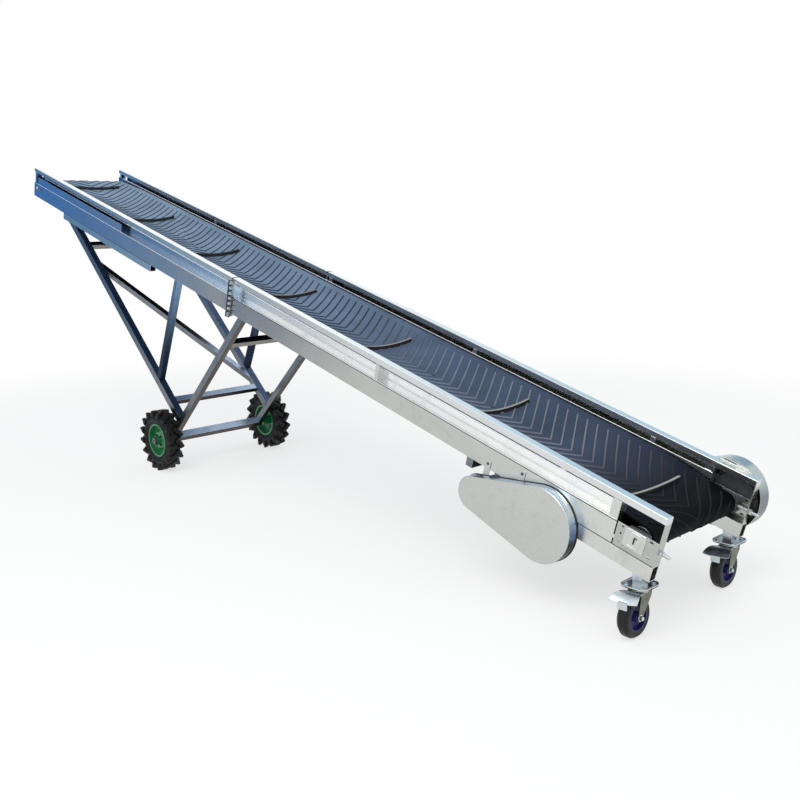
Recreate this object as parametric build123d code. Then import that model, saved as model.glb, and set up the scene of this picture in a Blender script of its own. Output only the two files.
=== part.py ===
from build123d import *
import os
from math import atan2, cos, degrees, hypot, radians, sin, sqrt

# Mobile belt conveyor: an inclined troughed belt on a bolted sheet-steel frame, carried by a tube
# support with two lugged wheels and by two braked swivel casters under the tail. Millimetres.
# Lengthways sizes on the frame run along the rail from its tail end (s), up from the rail's top (h).

# Overall layout
RAIL_LENGTH = 6000.0
INCLINE = 15.4
TAIL_RAIL_HEIGHT = 514.0
BELT_WIDTH = 650.0
BELT_SIDE_GAP = 54.0
JOINT_SHARE = 0.5133

# Guide rail and folded side beam
RAIL_WIDTH = 44.0
RAIL_HEIGHT = 31.0
RAIL_WALL = 3.0
RAIL_CORNER = 4.0
SHEET = 3.0
RECESS_HEIGHT = 84.0
RECESS_DEPTH = 40.0
STRIP_RISE = 54.0
WEB_HEIGHT = 105.0
BOTTOM_FLANGE = 40.0
JOINT_PLATE = 6.0
JOINT_PROUD = 25.0
JOINT_BELOW = 22.0
JOINT_TOP_DROP = 16.0
POST_WIDTH = 28.0
TAIL_POSTS = (535.0, 1725.0)
JOINT_POST_BACK = 40.0
COVER_POST_BACK = 58.0
HEAD_POST_BACK = 32.0
COVER_LENGTH = 1422.0
COVER_HEAD_GAP = 70.0

# Channels under the side beams
SUB_WIDTH = 44.0
SUB_HEIGHT = 68.0
SUB_WALL = 3.0
TAIL_SUB_LENGTH = 372.0
HEAD_SUB_HEIGHT = 46.0
HEAD_SUB_SHARES = (0.678, 0.907)  # of the rail's length

# Tail end: upright, window, bearing plate and take-up
TAIL_PLATE_LENGTH = 200.0
TAIL_SEAM = 6.0
TAIL_UPRIGHT = 43.0
TAIL_FLANGE = 44.0
PLATE_HOLE = 9.0
PLATE_HOLES = ((174.0, 126.0), (150.0, 130.0), (176.0, 158.0), (176.0, 194.0), (152.0, 199.0),
               (70.0, 126.0), (70.0, 194.0))  # along the rail, drop below its top
PLATE_SLOT = (18.0, 8.0)
PLATE_SLOT_AT = 36.0
PLATE_SLOT_DROPS = (126.0, 194.0)
TAIL_DRUM_AT = 109.0
TAIL_DRUM_DROP = 158.0
TAIL_DRUM_RADIUS = 47.0
BEARING_LENGTH = 96.0
BEARING_HEIGHT = 72.0
BEARING_DEPTH = 36.0
BEARING_RING = 28.0
BEARING_RING_DEPTH = 6.0
SCREW_DIAMETER = 14.0
SCREW_LENGTH = 106.0

# Head end
HEAD_DRUM_FROM_END = 92.0
HEAD_DRUM_DROP = 150.0
HEAD_DRUM_RADIUS = 60.0
HEAD_SLOT = (112.0, 18.0)
HEAD_BEARING_LENGTH = 80.0
HEAD_BEARING_HEIGHT = 60.0

# Drums, shafts and belt
DRUM_MARGIN = 5.0
SHAFT_DIAMETER = 35.0
BELT_THICK = 8.0
TROUGH_DROP = 130.0
TROUGH_RISE = 64.0
TROUGH_START = 450.0
HEAD_TRANSITION = 450.0
RETURN_DROP = 184.0
RETURN_START = 700.0
RETURN_HEAD_GAP = 700.0
WRAP_RUN = 20.0
CLEAT_FIRST = 286.0
CLEAT_LAST_GAP = 284.0
CLEAT_COUNT = 7
CLEAT_MARGIN = 125.0
CLEAT_HEIGHT = 24.0
CLEAT_THICK = 12.0
RETURN_CLEAT_FIRST = 900.0
RETURN_CLEAT_COUNT = 5
SEAT_GAP = 0.3

# Idlers
IDLER_COUNT = 6
IDLER_INSET = 380.0
ROLL_DIAMETER = 30.0
CENTRE_ROLL_SHARE = 0.35
SIDE_ROLL_SHARE = 0.285
ROLL_SPACE = 10.0
ROLL_PIN = 12.0
IDLER_BAR_WIDTH = 60.0
IDLER_BAR_HEIGHT = 6.0
IDLER_EAR = 6.0
EAR_GAP = 4.0
RETURN_ROLL = 30.0
RETURN_ROLL_MARGIN = 10.0

# Drive under the tail: motor, cross shaft, guards
CROSS_SHAFT_AT = 544.0
CROSS_SHAFT_DROP = 309.0
MOTOR_AT = 915.0
MOTOR_DROP = 374.0
GUARD_LARGE = 162.0
GUARD_SMALL = 101.0
GUARD_DEPTH = 40.0
GUARD_SHEET = 3.0
GUARD_EDGE = 5.0
FAR_GUARD_AT = 134.0
FAR_GUARD_DROP = 140.0
FAR_GUARD_LARGE = 165.0
FAR_GUARD_SMALL = 95.0
FAR_GUARD_DEPTH = 78.0
TAB_WIDTH = 40.0
TAB_PLACES = ((905.0, 178.0, 122.0), (708.0, 134.0, 96.0))  # along the rail, top's drop, length
MOTOR_RADIUS = 84.0
MOTOR_LENGTH = 220.0
MOTOR_SET_BACK = 117.0
MOTOR_BELL = 34.0
MOTOR_FAN_COVER = 62.0
MOTOR_FOOT_HEIGHT = 100.0
MOTOR_FOOT = (36.0, 200.0, 12.0)  # width, spread, thickness
MOTOR_FOOT_LEG = 59.0
MOTOR_BOX = 50.0
MOTOR_BOX_DEPTH = 40.0
MOTOR_FIN = (4.0, 9.0)
MOTOR_FIN_STEP = 15.0
MOTOR_SHAFT = 28.0
MOTOR_PLATE = (240.0, 260.0, 10.0)
MOTOR_BAR = 40.0
PULLEY_LARGE = 115.0
PULLEY_SMALL = 60.0
PULLEY_WIDTH = 44.0
PULLEY_INSET = 16.0
V_BELT = 10.0
PILLOW_LENGTH = 130.0
PILLOW_DEPTH = 38.0
PILLOW_FOOT = 14.0
PILLOW_RING = 34.0

# Tube support; shares are of the rail's length along it, or of a leg's length from its foot
TUBE = 40.0
FRONT_TUBE = 48.0
TUBE_WALL = 3.0
LEG_INSET = 30.0
WHEEL_SHARE = 0.6458
REAR_LEG_SHARE = 0.4958
FRONT_LEG_SHARE = 0.885
FRONT_FOOT_SHARE = 0.1522
STRUT_SHARE = 0.623
STRUT_FOOT_SHARE = 0.185
BAR_SHARES = (0.873, 0.091)
REAR_BAR_SHARE = 0.806
DIAGONAL_SHARES = (0.753, 0.15)
AXLE_TUBE = 50.0
STUB_DIAMETER = 25.0
STUB_NUT = 38.0
STUB_NUT_THICK = 12.0
AXLE_CAP = 8.0

# Lugged wheels
WHEEL_RADIUS = 205.0
LUG_HEIGHT = 16.0
LUG_COUNT = 16
LUG_THICK = 17.0
LUG_ANGLE = 42.0
LUG_LENGTH = 72.0
TYRE_WIDTH = 110.0
SIDEWALL_INSET = 3.0
SHOULDER_DROP = 12.0
SHOULDER_INSET = 11.0
TYRE_LEG_GAP = 10.0
RIM_RADIUS = 114.0
RIM_WIDTH = 76.0
RIM_LIP = 8.0
RIM_SHEET = 4.0
HUB_RADIUS = 32.0
HUB_LENGTH = 96.0
DISC_RADIUS = 74.0
DISC_DISH = 23.0
DISC_FLAT = 20.0
BORE_GAP = 0.4

# Swivel casters
CASTER_AT = 130.0
CASTER_RADIUS = 88.0
CASTER_WIDTH = 50.0
CASTER_SIDES = 40
CASTER_TREAD = 26.0
CASTER_SHOULDER = 10.0
CASTER_TRAIL = 42.0
CASTER_HEIGHT = 210.0
CASTER_PLATE = (100.0, 105.0, 5.0)
CASTER_PLATE_CORNER = 10.0
CASTER_SLOT = (18.0, 10.0)
CASTER_SLOT_SPREAD = (74.0, 80.0)
CASTER_HUB_RADIUS = 59.0
CASTER_HUB_WALL = 6.0
CASTER_WEB = 16.0
CASTER_BOSS = 21.0
CASTER_RACE = 34.0
CASTER_RACE_HEIGHT = 16.0
KINGPIN = 14.0
FORK_SHEET = 4.0
FORK_SIDE_GAP = 5.0
FORK_CROWN = 36.0
FORK_SHOULDER = 20.0
AXLE_BOLT = 12.0
AXLE_BOSS = 15.0
AXLE_NUT = 11.0
AXLE_NUT_THICK = 8.0
PEDAL_WIDTH = 108.0
PEDAL_SHEET = 3.0
PEDAL_REACH = 104.0
PEDAL_KNEE = 70.0
PEDAL_DROP = 14.0
PEDAL_LIP = 6.0
SHOE = (40.0, 16.0)  # width, thickness
SHOE_GAP = 6.0
PEDAL_GAP = 1.3
RISER_LENGTH = 44.0

# Values worked out from the sizes above
FRAME_WIDTH = BELT_WIDTH + 2 * BELT_SIDE_GAP
HALF = FRAME_WIDTH / 2
JOINT_AT = JOINT_SHARE * RAIL_LENGTH
COVER_END = RAIL_LENGTH - COVER_HEAD_GAP
COVER_START = COVER_END - COVER_LENGTH
POST_PLACES = (*TAIL_POSTS, JOINT_AT - JOINT_POST_BACK, COVER_START - COVER_POST_BACK, RAIL_LENGTH - HEAD_POST_BACK)
WHEEL_AT = WHEEL_SHARE * RAIL_LENGTH
DRUM_LENGTH = BELT_WIDTH + 2 * DRUM_MARGIN
TROUGH_END = RAIL_LENGTH - HEAD_TRANSITION
RETURN_END = RAIL_LENGTH - RETURN_HEAD_GAP
CLEAT_LENGTH = BELT_WIDTH - 2 * CLEAT_MARGIN
CLEAT_PITCH = (RAIL_LENGTH - CLEAT_FIRST - CLEAT_LAST_GAP) / (CLEAT_COUNT - 1)
RETURN_CLEATS = [RETURN_CLEAT_FIRST + k * CLEAT_PITCH for k in range(RETURN_CLEAT_COUNT)]
IDLER_PITCH = (TROUGH_END - TROUGH_START - 2 * IDLER_INSET) / (IDLER_COUNT - 1)
IDLER_PLACES = [TROUGH_START + IDLER_INSET + k * IDLER_PITCH for k in range(IDLER_COUNT)]
CENTRE_ROLL = CENTRE_ROLL_SHARE * BELT_WIDTH
SIDE_ROLL = SIDE_ROLL_SHARE * BELT_WIDTH
SIDE_ROLL_AT = (CENTRE_ROLL + SIDE_ROLL) / 2 + ROLL_SPACE
LEDGE = -(RAIL_HEIGHT + RECESS_HEIGHT)
BOTTOM = LEDGE - WEB_HEIGHT
SUB_BOTTOM = BOTTOM - SUB_HEIGHT
HEAD_SUB_BOTTOM = BOTTOM - HEAD_SUB_HEIGHT
STRIP_TOP = LEDGE + STRIP_RISE
COS, SIN = cos(radians(INCLINE)), sin(radians(INCLINE))
FRAME = Pos(0, 0, TAIL_RAIL_HEIGHT) * Rot(0, -INCLINE, 0)
UP = Vector(-SIN, 0, COS)
LEG_Y = HALF - LEG_INSET
TRACK = LEG_Y + TUBE / 2 + TYRE_LEG_GAP + TYRE_WIDTH / 2
CASTER_Y = HALF - SUB_WIDTH / 2
TROUGH_RADIUS = ((BELT_WIDTH / 2) ** 2 + TROUGH_RISE ** 2) / (2 * TROUGH_RISE)
HEAD_DRUM_AT = RAIL_LENGTH - HEAD_DRUM_FROM_END
TAIL_FLAT_END = TAIL_DRUM_AT + WRAP_RUN
HEAD_FLAT_START = HEAD_DRUM_AT - WRAP_RUN
TAIL_WRAP = TAIL_DRUM_RADIUS + SEAT_GAP
HEAD_WRAP = HEAD_DRUM_RADIUS + SEAT_GAP
TAIL_BELT_TOP = TAIL_WRAP + BELT_THICK - TAIL_DRUM_DROP
HEAD_BELT_TOP = HEAD_WRAP + BELT_THICK - HEAD_DRUM_DROP

nodes = {}


def on_frame(s, y, h):
    """World point at s along the rail, y across and h above the rail's top."""
    return Vector(s * COS - h * SIN, y, TAIL_RAIL_HEIGHT + s * SIN + h * COS)


def plate(s, y, h):
    """Box between pairs of limits along the rail, across and up."""
    size = [high - low for low, high in (s, y, h)]
    middle = [(high + low) / 2 for low, high in (s, y, h)]
    return Pos(*middle) * Box(*size)


def outline(points):
    """Face with straight edges through the points."""
    return make_face(Polyline(*points, close=True))


def along_rail(face, start, end):
    """Face drawn across and up, extruded along the rail."""
    return extrude(Plane.YZ.offset(start) * face, amount=end - start)


def rod(radius, s, h, low, high):
    """Round bar across the frame between two limits."""
    return Pos(s, (low + high) / 2, h) * Rot(90, 0, 0) * Cylinder(radius, high - low)


def add_pair(name, near):
    """Store a frame piece of the near side and its mirror image on the far side."""
    nodes[name + "_near"] = FRAME * near
    nodes[name + "_far"] = FRAME * mirror(near, about=Plane.XZ)


def both(near):
    """A near-side piece and its mirror image, as separate solids."""
    return Compound(children=[near, mirror(near, about=Plane.XZ)])


# Side beams, rails and covers
def beam_profile():
    """Folded sheet: back strip, ledge, outer web and bottom flange."""
    back = HALF - RECESS_DEPTH
    return outline([
        (HALF, LEDGE), (HALF, BOTTOM), (HALF - BOTTOM_FLANGE, BOTTOM),
        (HALF - BOTTOM_FLANGE, BOTTOM + SHEET), (HALF - SHEET, BOTTOM + SHEET),
        (HALF - SHEET, LEDGE - SHEET), (back - SHEET, LEDGE - SHEET),
        (back - SHEET, STRIP_TOP), (back, STRIP_TOP), (back, LEDGE)])


def joint_plate(start, end):
    """End plate of a frame section, standing proud of the web."""
    side = (HALF - RECESS_DEPTH - SHEET, HALF + JOINT_PROUD)
    return plate((start, end), side, (BOTTOM - JOINT_BELOW, -JOINT_TOP_DROP))


def slot_cutter(s, h, length, height):
    """Round-ended slot through the near web."""
    shape = Plane.XZ.offset(-HALF - SHEET) * Pos(s, h) * SlotOverall(length, height)
    return extrude(shape, amount=3 * SHEET)


def side_beams():
    """Tail and head sections, each ending in a joint plate."""
    tail = along_rail(beam_profile(), TAIL_PLATE_LENGTH + TAIL_SEAM, JOINT_AT - JOINT_PLATE)
    tail += joint_plate(JOINT_AT - JOINT_PLATE, JOINT_AT)
    head = along_rail(beam_profile(), JOINT_AT + JOINT_PLATE, RAIL_LENGTH)
    head += joint_plate(JOINT_AT, JOINT_AT + JOINT_PLATE)
    head -= slot_cutter(HEAD_DRUM_AT, -HEAD_DRUM_DROP, *HEAD_SLOT)
    add_pair("side_beam_tail", tail)
    add_pair("side_beam_head", head)


def rail_hollow():
    """Inside of the guide rail's section."""
    return Rectangle(RAIL_WIDTH - 2 * RAIL_WALL, RAIL_HEIGHT - 2 * RAIL_WALL)


def rail_post(s):
    """Short upright between the back strip and the rail, in the strip's own plane."""
    back = HALF - RECESS_DEPTH
    return plate((s - POST_WIDTH / 2, s + POST_WIDTH / 2), (back - SHEET, back), (STRIP_TOP, -RAIL_HEIGHT))


def rails():
    """Guide rails, closed at their outer ends, with the posts that carry them."""
    middle = Pos(HALF - RAIL_WIDTH / 2, -RAIL_HEIGHT / 2)
    wall = middle * (RectangleRounded(RAIL_WIDTH, RAIL_HEIGHT, RAIL_CORNER) - rail_hollow())
    cap = middle * rail_hollow()
    pieces = []
    for start, end, cap_at in ((0, JOINT_AT - JOINT_PLATE, 0),
                               (JOINT_AT + JOINT_PLATE, RAIL_LENGTH, RAIL_LENGTH - RAIL_WALL)):
        rail = along_rail(wall, start, end) + along_rail(cap, cap_at, cap_at + RAIL_WALL)
        pieces.append(rail + [rail_post(s) for s in POST_PLACES if start < s < end])
    add_pair("rail", Compound(children=pieces))


def covers():
    """Fillings of the recess: box uprights at both ends, near strips at the head, plates that shut the far side."""
    side, back = (HALF - SHEET, HALF), HALF - RECESS_DEPTH
    start = TAIL_PLATE_LENGTH + TAIL_SEAM
    head = RAIL_LENGTH - HEAD_POST_BACK - POST_WIDTH / 2
    posts = [plate(span, (back, HALF), (LEDGE, -RAIL_HEIGHT))
             for span in ((start, start + TAIL_UPRIGHT), (head, head + POST_WIDTH))]
    strip = plate((COVER_START, COVER_END), side, (LEDGE, STRIP_TOP))
    shut = plate((COVER_START, COVER_END), (back - SHEET, back), (STRIP_TOP, -RAIL_HEIGHT))
    nodes["recess_cover_near"] = FRAME * Compound(children=posts + [strip, shut])
    plates = [plate(span, side, (LEDGE, -RAIL_HEIGHT))
              for span in ((start + TAIL_UPRIGHT, JOINT_AT - JOINT_PLATE), (JOINT_AT + JOINT_PLATE, COVER_END))]
    nodes["recess_cover_far"] = FRAME * Compound(children=[mirror(p, about=Plane.XZ) for p in posts + plates])


def sub_channels():
    """Box channels under the side beams, at the casters and at the front legs."""
    head_span = [share * RAIL_LENGTH for share in HEAD_SUB_SHARES]
    for name, height, span in (("tail_channel", SUB_HEIGHT, (0, TAIL_SUB_LENGTH)),
                               ("head_channel", HEAD_SUB_HEIGHT, head_span)):
        wall = Rectangle(SUB_WIDTH, height) - Rectangle(SUB_WIDTH - 2 * SUB_WALL, height - 2 * SUB_WALL)
        add_pair(name, along_rail(Pos(HALF - SUB_WIDTH / 2, BOTTOM - height / 2) * wall, *span))


# Tail and head ends
def tail_plates():
    """Bearing plates with their bolt holes, slots and folded end flange."""
    body = plate((0, TAIL_PLATE_LENGTH), (HALF - SHEET, HALF), (BOTTOM, LEDGE))
    body += plate((0, SHEET), (HALF - TAIL_FLANGE, HALF), (BOTTOM, -RAIL_HEIGHT))
    for s, drop in PLATE_HOLES:
        body -= Pos(s, HALF, -drop) * Rot(90, 0, 0) * Cylinder(PLATE_HOLE / 2, 3 * SHEET)
    for drop in PLATE_SLOT_DROPS:
        body -= slot_cutter(PLATE_SLOT_AT, -drop, *PLATE_SLOT)
    gap = 2 * SEAT_GAP
    screw = Pos(0, bearing_middle(), -TAIL_DRUM_DROP) * Rot(0, 90, 0)
    body -= screw * Cylinder(SCREW_DIAMETER / 2 + gap, 4 * SHEET)
    add_pair("tail_plate", body)
    shaft_hole = FRAME * rod(SHAFT_DIAMETER / 2 + BORE_GAP, TAIL_DRUM_AT, -TAIL_DRUM_DROP, -HALF - SHEET, 0)
    nodes["tail_plate_far"] -= shaft_hole


def bearing_middle():
    """Middle of a drum bearing across the frame."""
    return HALF - SHEET - BEARING_DEPTH / 2


def bearing(s, h, length, height):
    """Take-up bearing block with a raised ring round its shaft hole."""
    side = (HALF - SHEET - BEARING_DEPTH, HALF - SHEET)
    block = plate((s - length / 2, s + length / 2), side, (h - height / 2, h + height / 2))
    ring = rod(BEARING_RING, s, h, side[0] - BEARING_RING_DEPTH, side[0])
    return block + ring - rod(SHAFT_DIAMETER / 2, s, h, side[0] - 2 * BEARING_RING_DEPTH, side[1] + SHEET)


def bearings():
    """Bearing blocks of both drums."""
    tail = bearing(TAIL_DRUM_AT, -TAIL_DRUM_DROP, BEARING_LENGTH, BEARING_HEIGHT)
    head = bearing(HEAD_DRUM_AT, -HEAD_DRUM_DROP, HEAD_BEARING_LENGTH, HEAD_BEARING_HEIGHT)
    nodes["tail_bearings"] = FRAME * both(tail)
    nodes["head_bearings"] = FRAME * both(head)


def take_up_screws():
    """Adjusting screws with their nuts, from the tail bearings out through the end flange."""
    end = TAIL_DRUM_AT - BEARING_LENGTH / 2
    across, h = bearing_middle(), -TAIL_DRUM_DROP
    screw = Pos(end - SCREW_LENGTH / 2, across, h) * Rot(0, 90, 0) * Cylinder(SCREW_DIAMETER / 2, SCREW_LENGTH)
    nut = extrude(RegularPolygon(SCREW_DIAMETER, 6), amount=SCREW_DIAMETER)
    screw += Pos(-SCREW_DIAMETER, across, h) * Rot(0, 90, 0) * nut
    nodes["take_up_screws"] = FRAME * both(screw)


def drum(s, h, radius, ends):
    """Drum with its shaft out to the given ends."""
    return rod(radius, s, h, -DRUM_LENGTH / 2, DRUM_LENGTH / 2) + rod(SHAFT_DIAMETER / 2, s, h, *ends)


def drums():
    """Driven tail drum, whose shaft runs into the far guard, and the head drum."""
    far_end = -(HALF + PULLEY_INSET + PULLEY_WIDTH)
    end = HALF - SHEET - SEAT_GAP
    nodes["tail_drum"] = FRAME * drum(TAIL_DRUM_AT, -TAIL_DRUM_DROP, TAIL_DRUM_RADIUS, (far_end, end))
    nodes["head_drum"] = FRAME * drum(HEAD_DRUM_AT, -HEAD_DRUM_DROP, HEAD_DRUM_RADIUS, (-end, end))


# Belt
def arc_band(width, low, rise, thick):
    """Section across the belt: a band of even thickness whose ends stand higher than its middle."""
    half, high = width / 2, low + thick
    return make_face(Curve() + [
        ThreePointArc((-half, low + rise), (0, low), (half, low + rise)),
        Line((half, low + rise), (half, high + rise)),
        ThreePointArc((half, high + rise), (0, high), (-half, high + rise)),
        Line((-half, high + rise), (-half, low + rise))])


def flat_face(top):
    """Flat belt section with its upper side at the given height."""
    return Pos(0, top - BELT_THICK / 2) * Rectangle(BELT_WIDTH, BELT_THICK)


def belt():
    """One loop: troughed carrying run, both wraps and the flat return run, with cross cleats."""
    trough = arc_band(BELT_WIDTH, -TROUGH_DROP - BELT_THICK, TROUGH_RISE, BELT_THICK)
    rising = loft([Plane.YZ.offset(TAIL_FLAT_END) * flat_face(TAIL_BELT_TOP),
                   Plane.YZ.offset(TROUGH_START) * trough], ruled=True)
    running = along_rail(trough, TROUGH_START, TROUGH_END)
    falling = loft([Plane.YZ.offset(TROUGH_END) * trough,
                    Plane.YZ.offset(HEAD_FLAT_START) * flat_face(HEAD_BELT_TOP)], ruled=True)
    return rising + running + falling + return_run() + cleats()


def return_run():
    """Both half wraps and the return run between them, as one band."""
    def path(grow):
        """Open band edge from the tail wrap's top round below to the head wrap's top."""
        tail, head = TAIL_WRAP + grow, HEAD_WRAP + grow
        t, d = TAIL_DRUM_AT, HEAD_DRUM_AT
        a, b = -TAIL_DRUM_DROP, -HEAD_DRUM_DROP
        run = -RETURN_DROP - grow
        return [Line((TAIL_FLAT_END, a + tail), (t, a + tail)),
                ThreePointArc((t, a + tail), (t - tail, a), (t, a - tail)),
                Polyline((t, a - tail), (TAIL_FLAT_END, a - tail), (RETURN_START, run), (RETURN_END, run),
                         (HEAD_FLAT_START, b - head), (d, b - head)),
                ThreePointArc((d, b - head), (d + head, b), (d, b + head)),
                Line((d, b + head), (HEAD_FLAT_START, b + head))]
    inner, outer = path(0), path(BELT_THICK)
    ends = [Line(inner[0] @ 0, outer[0] @ 0), Line(inner[-1] @ 1, outer[-1] @ 1)]
    face = make_face(Curve() + inner + outer + ends)
    return extrude(Plane.XZ * face, amount=BELT_WIDTH / 2, both=True)


def carrying_run(s):
    """Height of the carrying run's upper side in the middle, and its edges' rise, at s along the rail."""
    share = min(1, (s - TAIL_FLAT_END) / (TROUGH_START - TAIL_FLAT_END),
                (HEAD_FLAT_START - s) / (HEAD_FLAT_START - TROUGH_END))
    flat = TAIL_BELT_TOP if s < TROUGH_START else HEAD_BELT_TOP
    return (1 - share) * flat - share * TROUGH_DROP, share * TROUGH_RISE


def cleats():
    """Cross cleats standing on the outer side of the loop."""
    pieces = []
    for k in range(CLEAT_COUNT):
        s = CLEAT_FIRST + k * CLEAT_PITCH
        top, rise = carrying_run(s)
        face = arc_band(CLEAT_LENGTH, top - BELT_THICK / 2, rise * (CLEAT_LENGTH / BELT_WIDTH) ** 2, CLEAT_HEIGHT)
        pieces.append(along_rail(face, s - CLEAT_THICK / 2, s + CLEAT_THICK / 2))
    root = -RETURN_DROP - BELT_THICK / 2
    half = CLEAT_LENGTH / 2
    for s in RETURN_CLEATS:
        pieces.append(plate((s - CLEAT_THICK / 2, s + CLEAT_THICK / 2), (-half, half), (root - CLEAT_HEIGHT, root)))
    return pieces


# Idlers
def idlers():
    """Three-roll troughing sets on flat cross bars, and the return rolls."""
    radius = ROLL_DIAMETER / 2
    centre = -TROUGH_DROP - BELT_THICK - SEAT_GAP - radius
    tilt = degrees(atan2(SIDE_ROLL_AT, sqrt(TROUGH_RADIUS ** 2 - SIDE_ROLL_AT ** 2)))
    reach = TROUGH_RADIUS + BELT_THICK + SEAT_GAP + radius
    side_y = reach * sin(radians(tilt))
    side_h = -TROUGH_DROP + TROUGH_RADIUS - reach * cos(radians(tilt))
    bar_top = centre - radius - IDLER_EAR
    bar = (bar_top - IDLER_BAR_HEIGHT, bar_top)
    inside = HALF - SHEET
    rolls, frames = [], []
    for s in IDLER_PLACES:
        base = plate((s - IDLER_BAR_WIDTH / 2, s + IDLER_BAR_WIDTH / 2), (-inside, inside), bar)
        for y, h, angle, span in ((0, centre, 0, CENTRE_ROLL), (side_y, side_h, tilt, SIDE_ROLL),
                                  (-side_y, side_h, -tilt, SIDE_ROLL)):
            place = Pos(s, y, h) * Rot(angle, 0, 0)
            rolls.append(place * roll(radius, span))
            for end in (-1, 1):
                offset = end * (span / 2 + EAR_GAP + IDLER_EAR / 2)
                drop = (h + offset * sin(radians(angle)) - bar_top) / cos(radians(angle)) + IDLER_EAR / 2
                top = ROLL_PIN / 2
                base += place * Pos(0, offset, (top - drop) / 2) * Box(2 * ROLL_PIN, IDLER_EAR, top + drop)
        frames.append(base)
    nodes["idler_rolls"] = FRAME * Compound(children=rolls)
    nodes["idler_frames"] = FRAME * Compound(children=frames)
    low = -RETURN_DROP - BELT_THICK - SEAT_GAP - RETURN_ROLL / 2
    reach = BELT_WIDTH / 2 + RETURN_ROLL_MARGIN
    returns = []
    for cleat in RETURN_CLEATS:
        s = cleat + CLEAT_PITCH / 2
        body = rod(RETURN_ROLL / 2, s, low, -reach, reach)
        returns.append(body + rod(ROLL_PIN / 2, s, low, -inside, inside))
    nodes["return_rolls"] = FRAME * Compound(children=returns)


def roll(radius, length):
    """Idler roll across the frame, on a pin that reaches its two ears."""
    pin = Cylinder(ROLL_PIN / 2, length + 2 * (EAR_GAP - SEAT_GAP))
    return Rot(90, 0, 0) * (Cylinder(radius, length) + pin)


# Drive
def teardrop(big, small, big_radius, small_radius):
    """Outline round two circles, drawn along and up, from the straight lines that touch both."""
    hull = make_hull((Pos(*big) * Circle(big_radius)).edges() + (Pos(*small) * Circle(small_radius)).edges())
    return hull


def across(face, start, end):
    """Face drawn along the rail and up, extruded across the frame."""
    return extrude(Plane.XZ.offset(-end) * face, amount=end - start)


def guards():
    """Near guard from motor to cross shaft, and the open-backed far guard round the drum's pulley."""
    cross = (CROSS_SHAFT_AT, -CROSS_SHAFT_DROP)
    motor = (MOTOR_AT, -MOTOR_DROP)
    tail = (TAIL_DRUM_AT, -TAIL_DRUM_DROP)
    near = across(teardrop(cross, motor, GUARD_LARGE, GUARD_SMALL), HALF, HALF + GUARD_DEPTH)
    front = near.faces().sort_by(Axis.Y)[-1]
    near = fillet(front.edges(), GUARD_EDGE)
    for s, drop, length in TAB_PLACES:
        near += plate((s - TAB_WIDTH / 2, s + TAB_WIDTH / 2), (HALF, HALF + SHEET), (-drop - length, -drop))
    nodes["drive_guard_near"] = FRAME * near
    low, high = -HALF - FAR_GUARD_DEPTH, -HALF
    shell = (FAR_GUARD_AT, -FAR_GUARD_DROP)
    far = across(teardrop(shell, cross, FAR_GUARD_LARGE, FAR_GUARD_SMALL), low, high)
    front = far.faces().sort_by(Axis.Y)[0]
    far = fillet(front.edges(), GUARD_EDGE)
    t = GUARD_SHEET
    hollow = teardrop(shell, cross, FAR_GUARD_LARGE - t, FAR_GUARD_SMALL - t)
    nodes["drive_guard_far"] = FRAME * (far - across(hollow, low + t, high))
    inner = teardrop(tail, cross, PULLEY_LARGE, PULLEY_SMALL)
    outer = teardrop(tail, cross, PULLEY_LARGE + V_BELT, PULLEY_SMALL + V_BELT)
    start, end = -HALF - PULLEY_INSET - PULLEY_WIDTH, -HALF - PULLEY_INSET
    pulleys = []
    for (s, h), radius in ((tail, PULLEY_LARGE), (cross, PULLEY_SMALL)):
        disc = rod(radius - SEAT_GAP, s, h, start, end)
        pulleys.append(disc - rod(SHAFT_DIAMETER / 2, s, h, start, end))
    nodes["far_pulleys"] = FRAME * Compound(children=pulleys)
    nodes["drive_belt"] = FRAME * (across(outer, start, end) - across(inner, start, end))


def drive():
    """Cross shaft in its hanging bearings, and the finned motor on its plate."""
    s, h = CROSS_SHAFT_AT, -CROSS_SHAFT_DROP
    far_end = -(HALF + PULLEY_INSET + PULLEY_WIDTH)
    nodes["cross_shaft"] = FRAME * rod(SHAFT_DIAMETER / 2, s, h, far_end, HALF)
    side = (HALF - BOTTOM_FLANGE, HALF - BOTTOM_FLANGE + PILLOW_DEPTH)
    block = plate((s - PILLOW_LENGTH / 2, s + PILLOW_LENGTH / 2), side, (BOTTOM - PILLOW_FOOT, BOTTOM))
    block += plate((s - PILLOW_RING, s + PILLOW_RING), side, (h, BOTTOM - PILLOW_FOOT))
    block += rod(PILLOW_RING, s, h, *side)
    nodes["cross_shaft_bearings"] = FRAME * both(block - rod(SHAFT_DIAMETER / 2, s, h, side[0] - 9, side[1] + 9))
    s, h = MOTOR_AT, -MOTOR_DROP
    foot_top = h + MOTOR_FOOT_HEIGHT
    length, width, thick = MOTOR_PLATE
    middle = HALF - MOTOR_SET_BACK - MOTOR_BELL - MOTOR_LENGTH / 2
    base = plate((s - length / 2, s + length / 2), (middle - width / 2, middle + width / 2), (foot_top, foot_top + thick))
    inside = HALF
    for end in (-1, 1):
        at = s + end * (length - MOTOR_BAR) / 2
        base += plate((at - MOTOR_BAR / 2, at + MOTOR_BAR / 2), (-inside, inside), (foot_top + thick, BOTTOM))
    nodes["motor_base"] = FRAME * base
    nodes["motor"] = FRAME * motor(s, h, middle, foot_top)


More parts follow.
